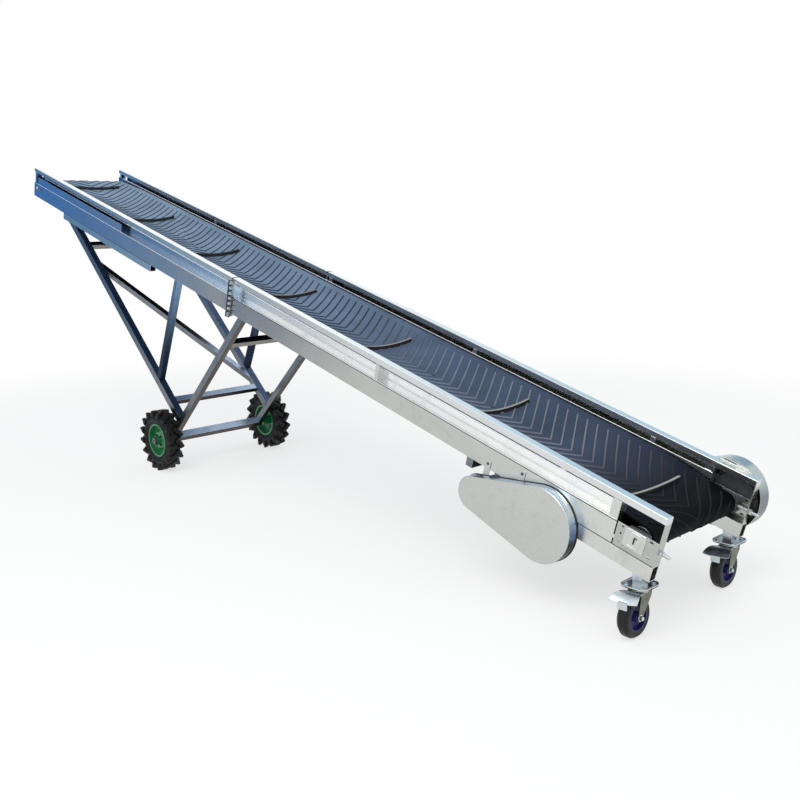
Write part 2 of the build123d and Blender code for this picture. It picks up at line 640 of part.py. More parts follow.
def motor(s, h, middle, foot_top):
    """Foot-mounted motor: finned body, end bell, fan cover, feet, terminal box and shaft."""
    front, back = middle + MOTOR_LENGTH / 2, middle - MOTOR_LENGTH / 2
    body = rod(MOTOR_RADIUS - MOTOR_FIN[1], s, h, back, front)
    thick, height = MOTOR_FIN
    for k in range(int(360 / MOTOR_FIN_STEP)):
        fin = Pos(0, middle, MOTOR_RADIUS - height) * Box(thick, MOTOR_LENGTH, 2 * height)
        body += Pos(s, 0, h) * Rot(0, k * MOTOR_FIN_STEP, 0) * fin
    body += rod(MOTOR_RADIUS - height / 2, s, h, front, front + MOTOR_BELL)
    body += rod(MOTOR_RADIUS, s, h, back - MOTOR_FAN_COVER, back)
    foot_width, spread, foot_thick = MOTOR_FOOT
    for end in (-1, 1):
        at = middle + end * MOTOR_LENGTH / 3
        body += plate((s - spread / 2, s + spread / 2), (at - foot_width / 2, at + foot_width / 2),
                      (foot_top - foot_thick, foot_top))
        for side in (-1, 1):
            leg = s + side * MOTOR_FOOT_LEG
            body += plate((leg - foot_thick / 2, leg + foot_thick / 2), (at - foot_width / 2, at + foot_width / 2),
                          (h, foot_top))
    box = MOTOR_BOX
    body += plate((s - box, s + box), (middle - box, middle + box), (h - MOTOR_RADIUS - MOTOR_BOX_DEPTH, h))
    return body + rod(MOTOR_SHAFT / 2, s, h, front, HALF)


# Tube support
def tube_face(size):
    """Square tube section."""
    return Rectangle(size, size) - Rectangle(size - 2 * TUBE_WALL, size - 2 * TUBE_WALL)


def leg(start, end, y, size):
    """Square tube between two points of the side view, at y across."""
    run = Vector(end[0] - start[0], 0, end[1] - start[1])
    plane = Plane(origin=(start[0], y, start[1]), x_dir=(0, 1, 0), z_dir=run)
    return extrude(plane * tube_face(size), amount=run.length)


def unit(start, end):
    """Direction from one point of the side view to another."""
    run = Vector(end[0] - start[0], 0, end[1] - start[1])
    return run.normalized()


def on_line(start, end, share):
    """Point of a side-view line at the given share of its length."""
    return (start[0] + share * (end[0] - start[0]), start[1] + share * (end[1] - start[1]))


def support():
    """Legs, struts, cross bars, diagonal and axle."""
    underside = Plane(origin=on_frame(0, 0, BOTTOM), z_dir=UP)
    head_underside = Plane(origin=on_frame(0, 0, HEAD_SUB_BOTTOM), z_dir=UP)
    axle = (WHEEL_AT, WHEEL_RADIUS)
    rear_top = on_frame(REAR_LEG_SHARE * RAIL_LENGTH, 0, BOTTOM)
    rear_top = (rear_top.X, rear_top.Z)
    rear = unit(axle, rear_top)
    rear_out = Vector(rear.Z, 0, -rear.X)
    foot = on_line(axle, rear_top, FRONT_FOOT_SHARE)
    front_top = on_frame(FRONT_LEG_SHARE * RAIL_LENGTH, 0, HEAD_SUB_BOTTOM)
    front_top = (front_top.X, front_top.Z)
    front = unit(foot, front_top)
    front_in = Vector(-front.Z, 0, front.X)

    seat = Plane(origin=Vector(axle[0], 0, axle[1]) + rear * (AXLE_TUBE / 2), z_dir=rear)
    rear_leg = leg(axle, (rear_top[0] + rear.X * TUBE / 4, rear_top[1] + rear.Z * TUBE / 4), LEG_Y, TUBE)
    rear_leg = split(split(rear_leg, bisect_by=underside, keep=Keep.BOTTOM), bisect_by=seat, keep=Keep.TOP)
    nodes["rear_legs"] = both(rear_leg)

    rear_face = Plane(origin=Vector(axle[0], 0, axle[1]) + rear_out * (TUBE / 2), z_dir=rear_out)
    over = (front_top[0] + front.X * 2 * TUBE, front_top[1] + front.Z * 2 * TUBE)
    front_leg = leg(foot, over, LEG_Y, FRONT_TUBE)
    front_leg = split(front_leg, bisect_by=head_underside, keep=Keep.BOTTOM)
    nodes["front_legs"] = both(split(front_leg, bisect_by=rear_face, keep=Keep.TOP))

    front_face = Plane(origin=Vector(foot[0], 0, foot[1]) + front_in * (FRONT_TUBE / 2), z_dir=front_in)
    strut_top = on_frame(STRUT_SHARE * RAIL_LENGTH, 0, BOTTOM)
    strut_foot = on_line(foot, front_top, STRUT_FOOT_SHARE)
    rise = unit(strut_foot, (strut_top.X, strut_top.Z))
    strut = leg(strut_foot, (strut_top.X + rise.X * TUBE, strut_top.Z + rise.Z * TUBE), LEG_Y, TUBE)
    strut = split(strut, bisect_by=underside, keep=Keep.BOTTOM)
    nodes["leg_struts"] = both(split(strut, bisect_by=front_face, keep=Keep.TOP))

    inside = LEG_Y - FRONT_TUBE / 2

    def cross_bar(at, direction, size, reach):
        """Square tube across, turned to lie along the legs it joins."""
        plane = Plane(origin=(at[0], -reach, at[1]), x_dir=direction, z_dir=(0, 1, 0))
        return extrude(plane * tube_face(size), amount=2 * reach)

    bars = [cross_bar(on_line(foot, front_top, share), front, TUBE, inside) for share in BAR_SHARES]
    nodes["front_cross_bars"] = Compound(children=bars)
    nodes["rear_cross_bar"] = cross_bar(on_line(axle, rear_top, REAR_BAR_SHARE), rear, TUBE, LEG_Y - TUBE / 2)

    high, low = (on_line(foot, front_top, share) for share in DIAGONAL_SHARES)
    reach = hypot(high[0] - low[0], high[1] - low[1])
    run = Vector(high[0] - low[0], 2 * inside, high[1] - low[1])
    grow = 1 + 4 * TUBE / reach
    start = Vector((high[0] + low[0]) / 2, 0, (high[1] + low[1]) / 2) - run * (grow / 2)
    plane = Plane(origin=start, x_dir=front_in, z_dir=run)
    diagonal = extrude(plane * tube_face(TUBE), amount=run.length * grow)
    diagonal = split(diagonal, bisect_by=Plane(origin=(0, inside, 0), z_dir=(0, 1, 0)), keep=Keep.BOTTOM)
    nodes["leg_diagonal"] = split(diagonal, bisect_by=Plane(origin=(0, -inside, 0), z_dir=(0, 1, 0)), keep=Keep.TOP)

    beam = cross_bar(axle, rear, AXLE_TUBE, LEG_Y + TUBE / 2)
    hub_out = TRACK + HUB_LENGTH / 2 + 1
    for side in (-1, 1):
        length = hub_out + STUB_NUT_THICK - LEG_Y
        stub = Pos(axle[0], side * (LEG_Y + length / 2), axle[1]) * Rot(90, 0, 0) * Cylinder(STUB_DIAMETER / 2, length)
        nut = Pos(axle[0], side * (hub_out + STUB_NUT_THICK / 2), axle[1]) * Rot(90, 0, 0)
        cap = Plane(origin=(axle[0], side * (LEG_Y + TUBE / 2 - AXLE_CAP / 2), axle[1]), x_dir=rear, z_dir=(0, 1, 0))
        beam += extrude(cap * Rectangle(AXLE_TUBE, AXLE_TUBE), amount=AXLE_CAP / 2, both=True)
        beam += stub
        beam += nut * Cylinder(STUB_NUT / 2, STUB_NUT_THICK)
    nodes["axle"] = beam


# Lugged wheels
def ring(profile):
    """Revolve a half section, drawn as radius and width, about the wheel's axle."""
    return revolve(Plane.XY * profile, Axis.Y)


def sided_ring(sides, section):
    """Ring about the wheel's axle with flat sides, from its section's corners as place along the axle and radius."""
    faces = []
    for k in range(sides):
        edges = []
        for turn in (360 * k / sides, 360 * (k + 1) / sides):
            c, s = cos(radians(turn)), sin(radians(turn))
            edges.append([Vector(radius * c, at, radius * s) for at, radius in section])
        near, far = edges
        for m in range(len(section)):
            faces.append(Face(Wire.make_polygon([near[m - 1], near[m], far[m], far[m - 1]])))
    return Solid(Shell(faces))


def sided_bar(sides, radius, half):
    """Flat-sided bar along the wheel's axle, from minus half to half."""
    return extrude(Plane.XZ * RegularPolygon(radius, sides), amount=half, both=True)


def tyre():
    """Carcass with staggered lugs along both shoulders, a lug centred on each corner of the carcass."""
    sides = 2 * LUG_COUNT
    corner = 1 / cos(radians(180 / sides))
    crown = WHEEL_RADIUS - LUG_HEIGHT
    shoulder = crown - SHOULDER_DROP
    bead = RIM_WIDTH / 2 - RIM_SHEET - SEAT_GAP
    lip = (RIM_RADIUS + SEAT_GAP) * corner
    wall = TYRE_WIDTH / 2 - SIDEWALL_INSET
    half = [(bead, lip), (wall, (lip + shoulder) / 2), (wall - SHOULDER_INSET, shoulder)]
    bore = (RIM_RADIUS - RIM_LIP) * corner
    outside = [(-at, radius) for at, radius in half] + [(0, crown)] + half[::-1]
    body = sided_ring(sides, outside + [(bead, bore), (-bead, bore)])
    limit = sided_bar(sides, WHEEL_RADIUS, TYRE_WIDTH / 2)
    block = Box(LUG_THICK, LUG_LENGTH, 3 * LUG_HEIGHT)
    step = 360 / LUG_COUNT
    for side in (-1, 1):
        at = Pos(0, side * TYRE_WIDTH / 4, crown) * Rot(0, 0, side * LUG_ANGLE)
        lug = (at * block) & limit
        turn = 0 if side < 0 else step / 2
        body += [Rot(0, turn + k * step, 0) * lug for k in range(LUG_COUNT)]
    return body


def rim():
    """Dished disc with rolled lips, welded to a tubular hub."""
    half, lip = RIM_WIDTH / 2, RIM_RADIUS
    seat = RIM_RADIUS - RIM_LIP - SEAT_GAP
    t, flat = RIM_SHEET, HUB_RADIUS + DISC_FLAT
    section = outline([
        (seat, -half + t), (seat, half - t), (lip, half - t), (lip, half), (seat - t, half),
        (seat - t, t), (DISC_RADIUS, t), (flat, DISC_DISH), (HUB_RADIUS - t, DISC_DISH),
        (HUB_RADIUS - t, DISC_DISH - t), (flat - t / 2, DISC_DISH - t), (DISC_RADIUS - t / 2, 0), (seat - t, 0),
        (seat - t, -half), (lip, -half), (lip, -half + t)])
    hub = Rot(90, 0, 0) * (Cylinder(HUB_RADIUS, HUB_LENGTH) - Cylinder(STUB_DIAMETER / 2 + BORE_GAP, HUB_LENGTH))
    return ring(section) + hub


def wheels():
    """Tyre and rim on each stub axle."""
    for name, side in (("near", 1), ("far", -1)):
        place = Pos(WHEEL_AT, side * TRACK, WHEEL_RADIUS) * Rot(0, 0, 0 if side > 0 else 180)
        nodes["tyre_" + name] = place * tyre()
        nodes["rim_" + name] = place * rim()


# Swivel casters
def caster_plate():
    """Top plate with slots and the riser that meets the channel's sloping underside."""
    length, width, thick = CASTER_PLATE
    plate_low = CASTER_HEIGHT - thick
    body = Pos(0, 0, plate_low + thick / 2) * Box(length, width, thick)
    body = fillet(body.edges().filter_by(Axis.Z), CASTER_PLATE_CORNER)
    for x in (-1, 1):
        for y in (-1, 1):
            at = Pos(x * CASTER_SLOT_SPREAD[0] / 2, y * CASTER_SLOT_SPREAD[1] / 2, plate_low)
            body -= extrude(at * SlotOverall(*CASTER_SLOT), amount=thick)
    body -= Pos(0, 0, plate_low) * Cylinder(KINGPIN / 2 + BORE_GAP, 4 * thick)
    riser = Pos(0, 0, CASTER_HEIGHT) * extrude(Rectangle(RISER_LENGTH, SUB_WIDTH), amount=2 * SUB_HEIGHT)
    riser -= Pos(0, 0, CASTER_HEIGHT) * Cylinder(KINGPIN, 3 * KINGPIN)
    underside = Plane(origin=on_frame(0, 0, SUB_BOTTOM) - Vector(CASTER_AT, 0, 0), z_dir=UP)
    return body + split(riser, bisect_by=underside, keep=Keep.BOTTOM)


def caster_fork():
    """Swivelling fork: kingpin, race, crown, two tapered legs and the axle bolt."""
    race_top = CASTER_HEIGHT - CASTER_PLATE[2] - SEAT_GAP
    crown_top = race_top - CASTER_RACE_HEIGHT
    inside = CASTER_WIDTH / 2 + FORK_SIDE_GAP
    outside = inside + FORK_SHEET
    body = Pos(0, 0, (race_top + crown_top) / 2) * Cylinder(CASTER_RACE, race_top - crown_top)
    body += Pos(0, 0, race_top + KINGPIN / 2) * Cylinder(KINGPIN / 2, KINGPIN + FORK_SHEET)
    body += Pos(0, 0, crown_top - FORK_SHEET / 2) * Box(2 * outside, 2 * FORK_CROWN, FORK_SHEET)
    shape = make_hull((Pos(CASTER_TRAIL, CASTER_RADIUS) * Circle(AXLE_BOSS)).edges()
                      + (Pos(0, crown_top - FORK_SHOULDER / 2) * Rectangle(2 * FORK_CROWN, FORK_SHOULDER)).edges())
    for low in (-outside, inside):
        body += extrude(Plane.YZ.offset(low) * shape, amount=FORK_SHEET)
    axle = Pos(0, CASTER_TRAIL, CASTER_RADIUS) * Rot(0, 90, 0)
    body += axle * Cylinder(AXLE_BOLT / 2, 2 * (outside + AXLE_NUT_THICK + SHEET))
    for side in (-1, 1):
        nut = Pos(0, 0, side * (outside + AXLE_NUT_THICK / 2)) * RegularPolygon(AXLE_NUT, 6)
        body += axle * extrude(nut, amount=AXLE_NUT_THICK / 2, both=True)
    return body


def caster_pedal():
    """Brake pedal: a wide bent plate over the trailing side of the wheel, with its shoe."""
    race_top = CASTER_HEIGHT - CASTER_PLATE[2] - SEAT_GAP
    crown_low = race_top - CASTER_RACE_HEIGHT - FORK_SHEET
    t = PEDAL_SHEET
    low, start, tip = crown_low - PEDAL_DROP, FORK_CROWN + PEDAL_GAP, PEDAL_REACH
    side = outline([(start, crown_low), (start, crown_low + t), (PEDAL_KNEE, crown_low + t), (tip, low + t),
                    (tip, low - PEDAL_LIP), (tip - t, low - PEDAL_LIP), (tip - t, low), (PEDAL_KNEE, crown_low)])
    body = extrude(Plane.YZ * side, amount=PEDAL_WIDTH / 2, both=True)
    width, thick = SHOE
    end = tip - t
    shoe = Pos(0, end - thick / 2, low) * Box(width, thick, 2 * CASTER_TRAIL)
    shoe -= Pos(0, CASTER_TRAIL, CASTER_RADIUS) * Rot(0, 90, 0) * Cylinder(CASTER_RADIUS + SHOE_GAP, PEDAL_WIDTH)
    pitch = Plane(origin=(0, PEDAL_KNEE, crown_low + t / 2), x_dir=(1, 0, 0),
                  z_dir=(0, PEDAL_DROP, tip - PEDAL_KNEE))
    return body + split(shoe, bisect_by=pitch, keep=Keep.BOTTOM)


def caster_wheel():
    """Rubber tyre and dished hub of a caster, axle across, as two solids."""
    half, hub = CASTER_WIDTH / 2, CASTER_HUB_RADIUS
    edge = CASTER_RADIUS - CASTER_SHOULDER
    bore = (hub + SEAT_GAP) / cos(radians(180 / CASTER_SIDES))
    rubber = sided_ring(CASTER_SIDES, [(-half, bore), (-half, edge), (-CASTER_TREAD / 2, CASTER_RADIUS),
                                       (CASTER_TREAD / 2, CASTER_RADIUS), (half, edge), (half, bore)])
    wall, web = hub - CASTER_HUB_WALL, CASTER_WEB / 2
    boss, boss_half = CASTER_BOSS, half + FORK_SIDE_GAP - 1
    axle = AXLE_BOLT / 2 + BORE_GAP
    profile = outline([(axle, -boss_half), (boss, -boss_half), (boss, -web), (wall, -web), (wall, -half), (hub, -half),
                       (hub, half), (wall, half), (wall, web), (boss, web), (boss, boss_half), (axle, boss_half)])
    return Rot(0, 0, -90) * rubber, Rot(0, 0, -90) * ring(profile)


def casters():
    """Both casters, swivelled sideways so that their wheels trail towards the near side."""
    for name, side in (("near", 1), ("far", -1)):
        place = Pos(CASTER_AT, side * CASTER_Y, 0)
        nodes["caster_plate_" + name] = place * caster_plate()
        nodes["caster_fork_" + name] = place * caster_fork()
        nodes["caster_pedal_" + name] = place * caster_pedal()
        rubber, hub = caster_wheel()
        roll_place = place * Pos(0, CASTER_TRAIL, CASTER_RADIUS)
        nodes["caster_tyre_" + name] = roll_place * rubber
        nodes["caster_hub_" + name] = roll_place * hub


def build():
    """Make every node, then set the origin under the middle of the whole machine."""
    for make in (side_beams, rails, covers, sub_channels, tail_plates, bearings, take_up_screws, drums,
                 idlers, guards, drive, support, wheels, casters):
        make()
    nodes["belt"] = FRAME * belt()
    boxes = [node.bounding_box() for node in nodes.values()]
    middle = (min(b.min.X for b in boxes) + max(b.max.X for b in boxes)) / 2
    os.makedirs("parts", exist_ok=True)
    for name, node in nodes.items():
        export_step(Pos(-middle, 0, 0) * node, f"parts/{name}.step")
    low, high = min(b.min.Z for b in boxes), max(b.max.Z for b in boxes)
    print("nodes", len(nodes), "middle", round(middle, 3), "height", round(low, 3), round(high, 3))
    print("wheel axis", round(WHEEL_AT - middle, 3), TRACK, WHEEL_RADIUS)
    print("caster axis", round(CASTER_AT - middle, 3), CASTER_Y, "axle", CASTER_TRAIL, CASTER_RADIUS)


build()
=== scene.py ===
"""Looks of a mobile belt conveyor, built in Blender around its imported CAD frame."""
import logging
import math
import random
from dataclasses import dataclass
from enum import Enum
from functools import cached_property
from typing import Dict, List, Optional, Sequence, Tuple, Union

import bmesh
import bpy
from mathutils import Matrix, Vector
from mathutils.bvhtree import BVHTree


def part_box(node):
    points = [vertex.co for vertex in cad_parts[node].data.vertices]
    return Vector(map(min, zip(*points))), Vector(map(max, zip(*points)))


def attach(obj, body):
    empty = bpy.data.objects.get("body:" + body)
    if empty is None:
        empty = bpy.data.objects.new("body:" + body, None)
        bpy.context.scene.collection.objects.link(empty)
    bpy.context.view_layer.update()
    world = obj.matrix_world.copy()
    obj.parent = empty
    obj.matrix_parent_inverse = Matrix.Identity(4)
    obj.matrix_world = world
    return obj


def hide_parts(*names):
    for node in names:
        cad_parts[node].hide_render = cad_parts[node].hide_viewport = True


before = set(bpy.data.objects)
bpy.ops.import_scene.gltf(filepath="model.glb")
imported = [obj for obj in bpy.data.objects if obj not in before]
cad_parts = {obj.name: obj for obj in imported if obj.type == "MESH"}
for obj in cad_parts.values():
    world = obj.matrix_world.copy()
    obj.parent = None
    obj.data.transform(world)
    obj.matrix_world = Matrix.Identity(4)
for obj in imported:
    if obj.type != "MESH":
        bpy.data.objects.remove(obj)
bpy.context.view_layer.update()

NODES: Dict[str, bpy.types.Object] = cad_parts
LOG = logging.getLogger("conveyor")

# Sizes that several pieces and finishes share
SLOPE = 15.4  # degrees that the rails rise by
RUN_LENGTH = 5.9  # metres that tones along the conveyor change over
WEB_SIDE = 0.379  # metres from the middle to the outer face of the side beams

Spot = Tuple[float, float]
Triple = Tuple[float, float, float]
Feed = Union[float, Triple, "Channel"]
Stops = Tuple[Tuple[float, Triple], ...]


# Shader maths
class Channel:
    """A shader socket that takes part in Python expressions."""

    def __init__(self, graph: "Graph", socket: bpy.types.NodeSocket) -> None:
        """Keeps the socket and the graph that it belongs to."""
        self.graph = graph
        self.socket = socket

    def math(self, operation: str, *feeds: Feed) -> "Channel":
        """Adds a Math node over the feeds."""
        return self.graph.add("ShaderNodeMath", {"operation": operation}, dict(enumerate(feeds)))

    def __add__(self, other: Feed) -> "Channel":
        """Sum."""
        return self.math("ADD", self, other)

    __radd__ = __add__

    def __sub__(self, other: Feed) -> "Channel":
        """Difference."""
        return self.math("SUBTRACT", self, other)

    def __rsub__(self, other: Feed) -> "Channel":
        """Reflected difference."""
        return self.math("SUBTRACT", other, self)

    def __mul__(self, other: Feed) -> "Channel":
        """Product."""
        return self.math("MULTIPLY", self, other)

    __rmul__ = __mul__

    def __truediv__(self, other: Feed) -> "Channel":
        """Quotient."""
        return self.math("DIVIDE", self, other)

    def __rtruediv__(self, other: Feed) -> "Channel":
        """Reflected quotient."""
        return self.math("DIVIDE", other, self)

    def abs(self) -> "Channel":
        """Size without sign."""
        return self.math("ABSOLUTE", self)

    def top(self, other: Feed) -> "Channel":
        """The larger of two values."""
        return self.math("MAXIMUM", self, other)

    def step(self, low: float, high: float) -> "Channel":
        """Smooth rise from 0 at low to 1 at high; falls where low is the larger.

        Args:
            low: Value that gives 0.
            high: Value that gives 1.

        Returns:
            The mask.
        """
        settings = {"interpolation_type": "SMOOTHSTEP", "clamp": True}
        if low <= high:
            limits = {1: low, 2: high, 3: 0.0, 4: 1.0}
        else:
            limits = {1: high, 2: low, 3: 1.0, 4: 0.0}
        return self.graph.add("ShaderNodeMapRange", settings, {0: self, **limits})

    def part(self, name: str) -> "Channel":
        """Another output of the same node."""
        return Channel(self.graph, self.socket.node.outputs[name])


class Graph:
    """A material's nodes, with one principled shader at their end."""

    def __init__(self, name: str) -> None:
        """Starts a material.

        Args:
            name: Its name.
        """
        self.material = bpy.data.materials.new(name)
        self.material.use_nodes = True
        self.tree = self.material.node_tree
        self.shader = self.tree.nodes["Principled BSDF"]

    @classmethod
    def of(cls, tree: bpy.types.NodeTree) -> "Graph":
        """Graph over a tree that has no principled shader, such as a world's.

        Args:
            tree: The node tree.

        Returns:
            The graph.
        """
        graph = cls.__new__(cls)
        graph.tree = tree
        return graph

    def add(self, kind: str, settings: Optional[dict] = None, inputs: Optional[dict] = None,
            output: Union[int, str] = 0) -> Channel:
        """Adds any node.

        Args:
            kind: Node type.
            settings: Properties of the node, set first; "stops" fills a colour ramp.
            inputs: Values or channels by socket name or number.
            output: Name or number of the output that is returned.

        Returns:
            The output as a channel.
        """
        node = self.tree.nodes.new(kind)
        for key, value in (settings or {}).items():
            if key == "stops":
                self._stops(node.color_ramp, value)
            else:
                setattr(node, key, value)
        for key, value in (inputs or {}).items():
            self.feed(node.inputs[key], value)
        return Channel(self, node.outputs[output])

    def _stops(self, ramp: bpy.types.ColorRamp, stops: Stops) -> None:
        """Fills a colour ramp.

        Args:
            ramp: The ramp.
            stops: Pairs of place and colour.
        """
        while len(ramp.elements) < len(stops):
            ramp.elements.new(0.5)
        for element, (place, colour) in zip(ramp.elements, stops):
            element.position = place
            element.color = (*colour, 1.0)

    def feed(self, socket: bpy.types.NodeSocket, value: Feed) -> None:
        """Links a channel to a socket, or sets its value.

        Args:
            socket: The socket.
            value: A channel, a number or a colour.
        """
        if isinstance(value, Channel):
            self.tree.links.new(value.socket, socket)
        elif socket.type == "RGBA":
            socket.default_value = (*value[:3], 1.0)
        else:
            socket.default_value = value

    def set(self, **values: Feed) -> None:
        """Feeds the principled shader; an underscore stands for a space in a socket's name."""
        for name, value in values.items():
            self.feed(self.shader.inputs[name.replace("_", " ")], value)

    def place(self, scale: Triple = (1, 1, 1), turn: float = 0.0, shift: Triple = (0, 0, 0)) -> Channel:
        """Object coordinates, turned about Y and scaled.

        Args:
            scale: Factors along the three axes.
            turn: Angle about Y in degrees.
            shift: Offset that is added last.

        Returns:
            The vector channel.
        """
        at = self.add("ShaderNodeTexCoord", output="Object")
        inputs = {"Vector": at, "Rotation": (0.0, math.radians(turn), 0.0)}
        turned = self.add("ShaderNodeMapping", None, inputs)
        return self.add("ShaderNodeMapping", None, {"Vector": turned, "Scale": scale, "Location": shift})

    def noise(self, scale: float, detail: float = 3.0, at: Optional[Channel] = None,
              rough: float = 0.5) -> Channel:
        """Noise around 0.5.

        Args:
            scale: Waves per metre.
            detail: Octaves.
            at: Vector; object coordinates where none is given.
            rough: Weight of the finer octaves.

        Returns:
            The noise value.
        """
        inputs = {"Vector": at or self.place(), "Scale": scale, "Detail": detail, "Roughness": rough}
        return self.add("ShaderNodeTexNoise", None, inputs)

    def cells(self, scale: float, at: Optional[Channel] = None, feature: str = "F1",
              output: str = "Distance") -> Channel:
        """Cell pattern.

        Args:
            scale: Cells per metre.
            at: Vector; object coordinates where none is given.
            feature: Cell feature.
            output: Output of the node.

        Returns:
            The chosen output.
        """
        inputs = {"Vector": at or self.place(), "Scale": scale}
        return self.add("ShaderNodeTexVoronoi", {"feature": feature}, inputs, output)

    def mix(self, share: Feed, first: Feed, second: Feed) -> Channel:
        """Colour between two colours.

        Args:
            share: 0 for the first, 1 for the second.
            first: Colour or channel.
            second: Colour or channel.

        Returns:
            The mixed colour.
        """
        return self.add("ShaderNodeMix", {"data_type": "RGBA"}, {0: share, 6: first, 7: second}, 2)

    def tint(self, colour: Feed, factor: Channel) -> Channel:
        """Colour multiplied by a value.

        Args:
            colour: Colour or channel.
            factor: The value.

        Returns:
            The colour.
        """
        grey = self.add("ShaderNodeCombineXYZ", None, {0: factor, 1: factor, 2: factor})
        return self.add("ShaderNodeMix", {"data_type": "RGBA", "blend_type": "MULTIPLY"},
                        {0: 1.0, 6: colour, 7: grey}, 2)

    def rounded(self, radius: float) -> Channel:
        """Normal that rounds sharp edges to a radius in metres."""
        return self.add("ShaderNodeBevel", {"samples": 4}, {"Radius": radius})

    def edges(self, radius: float) -> Channel:
        """Mask along sharp edges.

        Args:
            radius: Radius in metres that the edges are compared with.

        Returns:
            Mask that is 1 along edges sharper than the radius.
        """
        inputs = {0: self.add("ShaderNodeNewGeometry", output="Normal"), 1: self.rounded(radius)}
        dot = self.add("ShaderNodeVectorMath", {"operation": "DOT_PRODUCT"}, inputs, "Value")
        return (1.0 - dot).step(0.01, 0.16)

    def facing(self, axis: str) -> Channel:
        """The normal's share along an axis."""
        normal = self.add("ShaderNodeNewGeometry", output="Normal")
        return self.add("ShaderNodeSeparateXYZ", None, {0: normal}, axis)

    def at(self, axis: str) -> Channel:
        """The object coordinate along an axis."""
        return self.add("ShaderNodeSeparateXYZ", None, {0: self.place()}, axis)

    def ramp(self, share: Channel, stops: Stops) -> Channel:
        """Colour between stops by a share from 0 to 1."""
        return self.add("ShaderNodeValToRGB", {"stops": stops}, {0: share})

    def run(self, stops: Stops) -> Channel:
        """Colour along the conveyor, from 0 at the tail to 1 at the head."""
        return self.ramp(self.at("X") / RUN_LENGTH + 0.5, stops)

    def upward(self) -> Channel:
        """Mask that is 1 on faces that look up."""
        return self.facing("Z").step(0.2, 0.85)

    def seen(self) -> Channel:
        """Mask of rays from the camera, gloss and glass."""
        path = self.add("ShaderNodeLightPath", None, None, "Is Camera Ray")
        return path.top(path.part("Is Glossy Ray")).top(path.part("Is Transmission Ray"))

    def bump(self, height: Channel, depth: float, normal: Optional[Channel] = None) -> Channel:
        """Bumped normal.

        Args:
            height: Height between 0 and 1.
            depth: Height in metres that 1 stands for.
            normal: Normal that is bumped, if any.

        Returns:
            The normal channel.
        """
        inputs = {"Height": height, "Distance": depth, "Strength": 1.0}
        if normal:
            inputs["Normal"] = normal
        return self.add("ShaderNodeBump", None, inputs)


# Finishes
@dataclass(frozen=True)
class Finish:
    """A surface finish that makes one material and is put on pieces and CAD nodes."""

    slot: str
    colour: Triple
    variant: str = ""

    def paint(self, graph: Graph) -> None:
        """Fills the graph's shader."""
        raise NotImplementedError

    def material(self) -> bpy.types.Material:
        """Makes the finish's material on first use.

        Returns:
            The material.
        """
        name = "finish_" + self.slot + self.variant
        found = bpy.data.materials.get(name)
        if found:
            return found
        graph = Graph(name)
        self.paint(graph)
        return graph.material

    def dress(self, piece: bpy.types.Object) -> None:
        """Puts the finish on a piece."""
        piece.data.materials.clear()
        piece.data.materials.append(self.material())


@dataclass(frozen=True)
class Sheet(Finish):
    """Galvanised sheet with drawn streaks along the rail, soft waves, scratches, and sharp edges brightened
    as painted highlights.
    """

    turn: float = SLOPE
    rough: float = 0.23
    wave: float = 0.0020
    # Painted reflection along the run on the webs and strips
    web: Stops = ()
    strip: Stops = ()
    # Painted light and reflection on the rims, by the way each face turns
    rim: Stops = ()
    web_side: Spot = (0.362, 0.374)
    # Painted shade on the joint flanges that stand out past the webs
    flange_side: Spot = (0.3800, 0.3815)
    flange: Triple = (0.085, 0.092, 0.110)

    def shade(self, graph: Graph) -> Feed:
        """Colour before the marks: painted reflection along the run on the webs and strips, painted shade on
        the joint flanges, and painted light and reflection on the rims by the way they face.

        Args:
            graph: The material's nodes.

        Returns:
            The colour.
        """
        colour = self.colour
        if self.web:
            side = graph.at("Y").abs()
            # Painted reflection: strips and webs toned along the run
            colour = graph.mix(side.step(*self.web_side), graph.run(self.strip), graph.run(self.web))
            # Painted shade on the joint flanges
            colour = graph.mix(side.step(*self.flange_side), colour, self.flange)
        if self.rim:
            # Painted light and reflection: rims toned by the way each face turns
            edge = graph.facing("Y").abs().step(0.75, 0.35)
            colour = graph.mix(edge, colour, graph.ramp(0.5 * graph.facing("Z") + 0.5, self.rim))
        return colour

    def paint(self, graph: Graph) -> None:
        """Fills the graph's shader.

        Args:
            graph: The material's nodes.
        """
        along = graph.place((1.4, 60.0, 60.0), self.turn)
        streak = graph.noise(6.0, 4.0, along, 0.6)
        cloud = graph.noise(3.2, 4.0)
        smudge = graph.noise(14.0, 5.0, None, 0.65).step(0.52, 0.72)
        spangle = graph.cells(95.0, None, "F1", "Color")
        grain = graph.add("ShaderNodeSeparateColor", None, {0: spangle})
        lines = graph.cells(7.0, graph.place((3.0, 1.0, 9.0), self.turn - 24.0), "DISTANCE_TO_EDGE")
        scratch = lines.step(0.012, 0.0) * graph.noise(9.0, 2.0).step(0.54, 0.66)
        # Painted highlight: sharp edges are brightened
        worn_and_lit_edges = graph.edges(0.0022)
        tone = 0.93 + 0.07 * streak + 0.12 * (cloud - 0.5) + 0.02 * (grain - 0.5) - 0.07 * smudge
        tone = tone + 0.05 * scratch + 0.10 * worn_and_lit_edges
        graph.set(Base_Color=graph.tint(self.shade(graph), tone), Metallic=1.0)
        rough = self.rough + 0.08 * (streak - 0.5) + 0.07 * smudge + 0.02 * (grain - 0.5) + 0.08 * scratch
        graph.set(Roughness=rough + 0.06 * (cloud - 0.5))
        waves = graph.noise(2.6, 1.0, graph.place((0.8, 2.2, 2.2), self.turn))
        normal = graph.bump(waves, self.wave, graph.rounded(0.0018))
        graph.set(Normal=graph.bump(0.9 * streak + 0.1 * grain - 0.5 * scratch, 0.00002, normal))


@dataclass(frozen=True)
class PressedSheet(Sheet):
    """Flat pressed sheet, evener than the long folded beams."""

    rough: float = 0.27
    wave: float = 0.0012


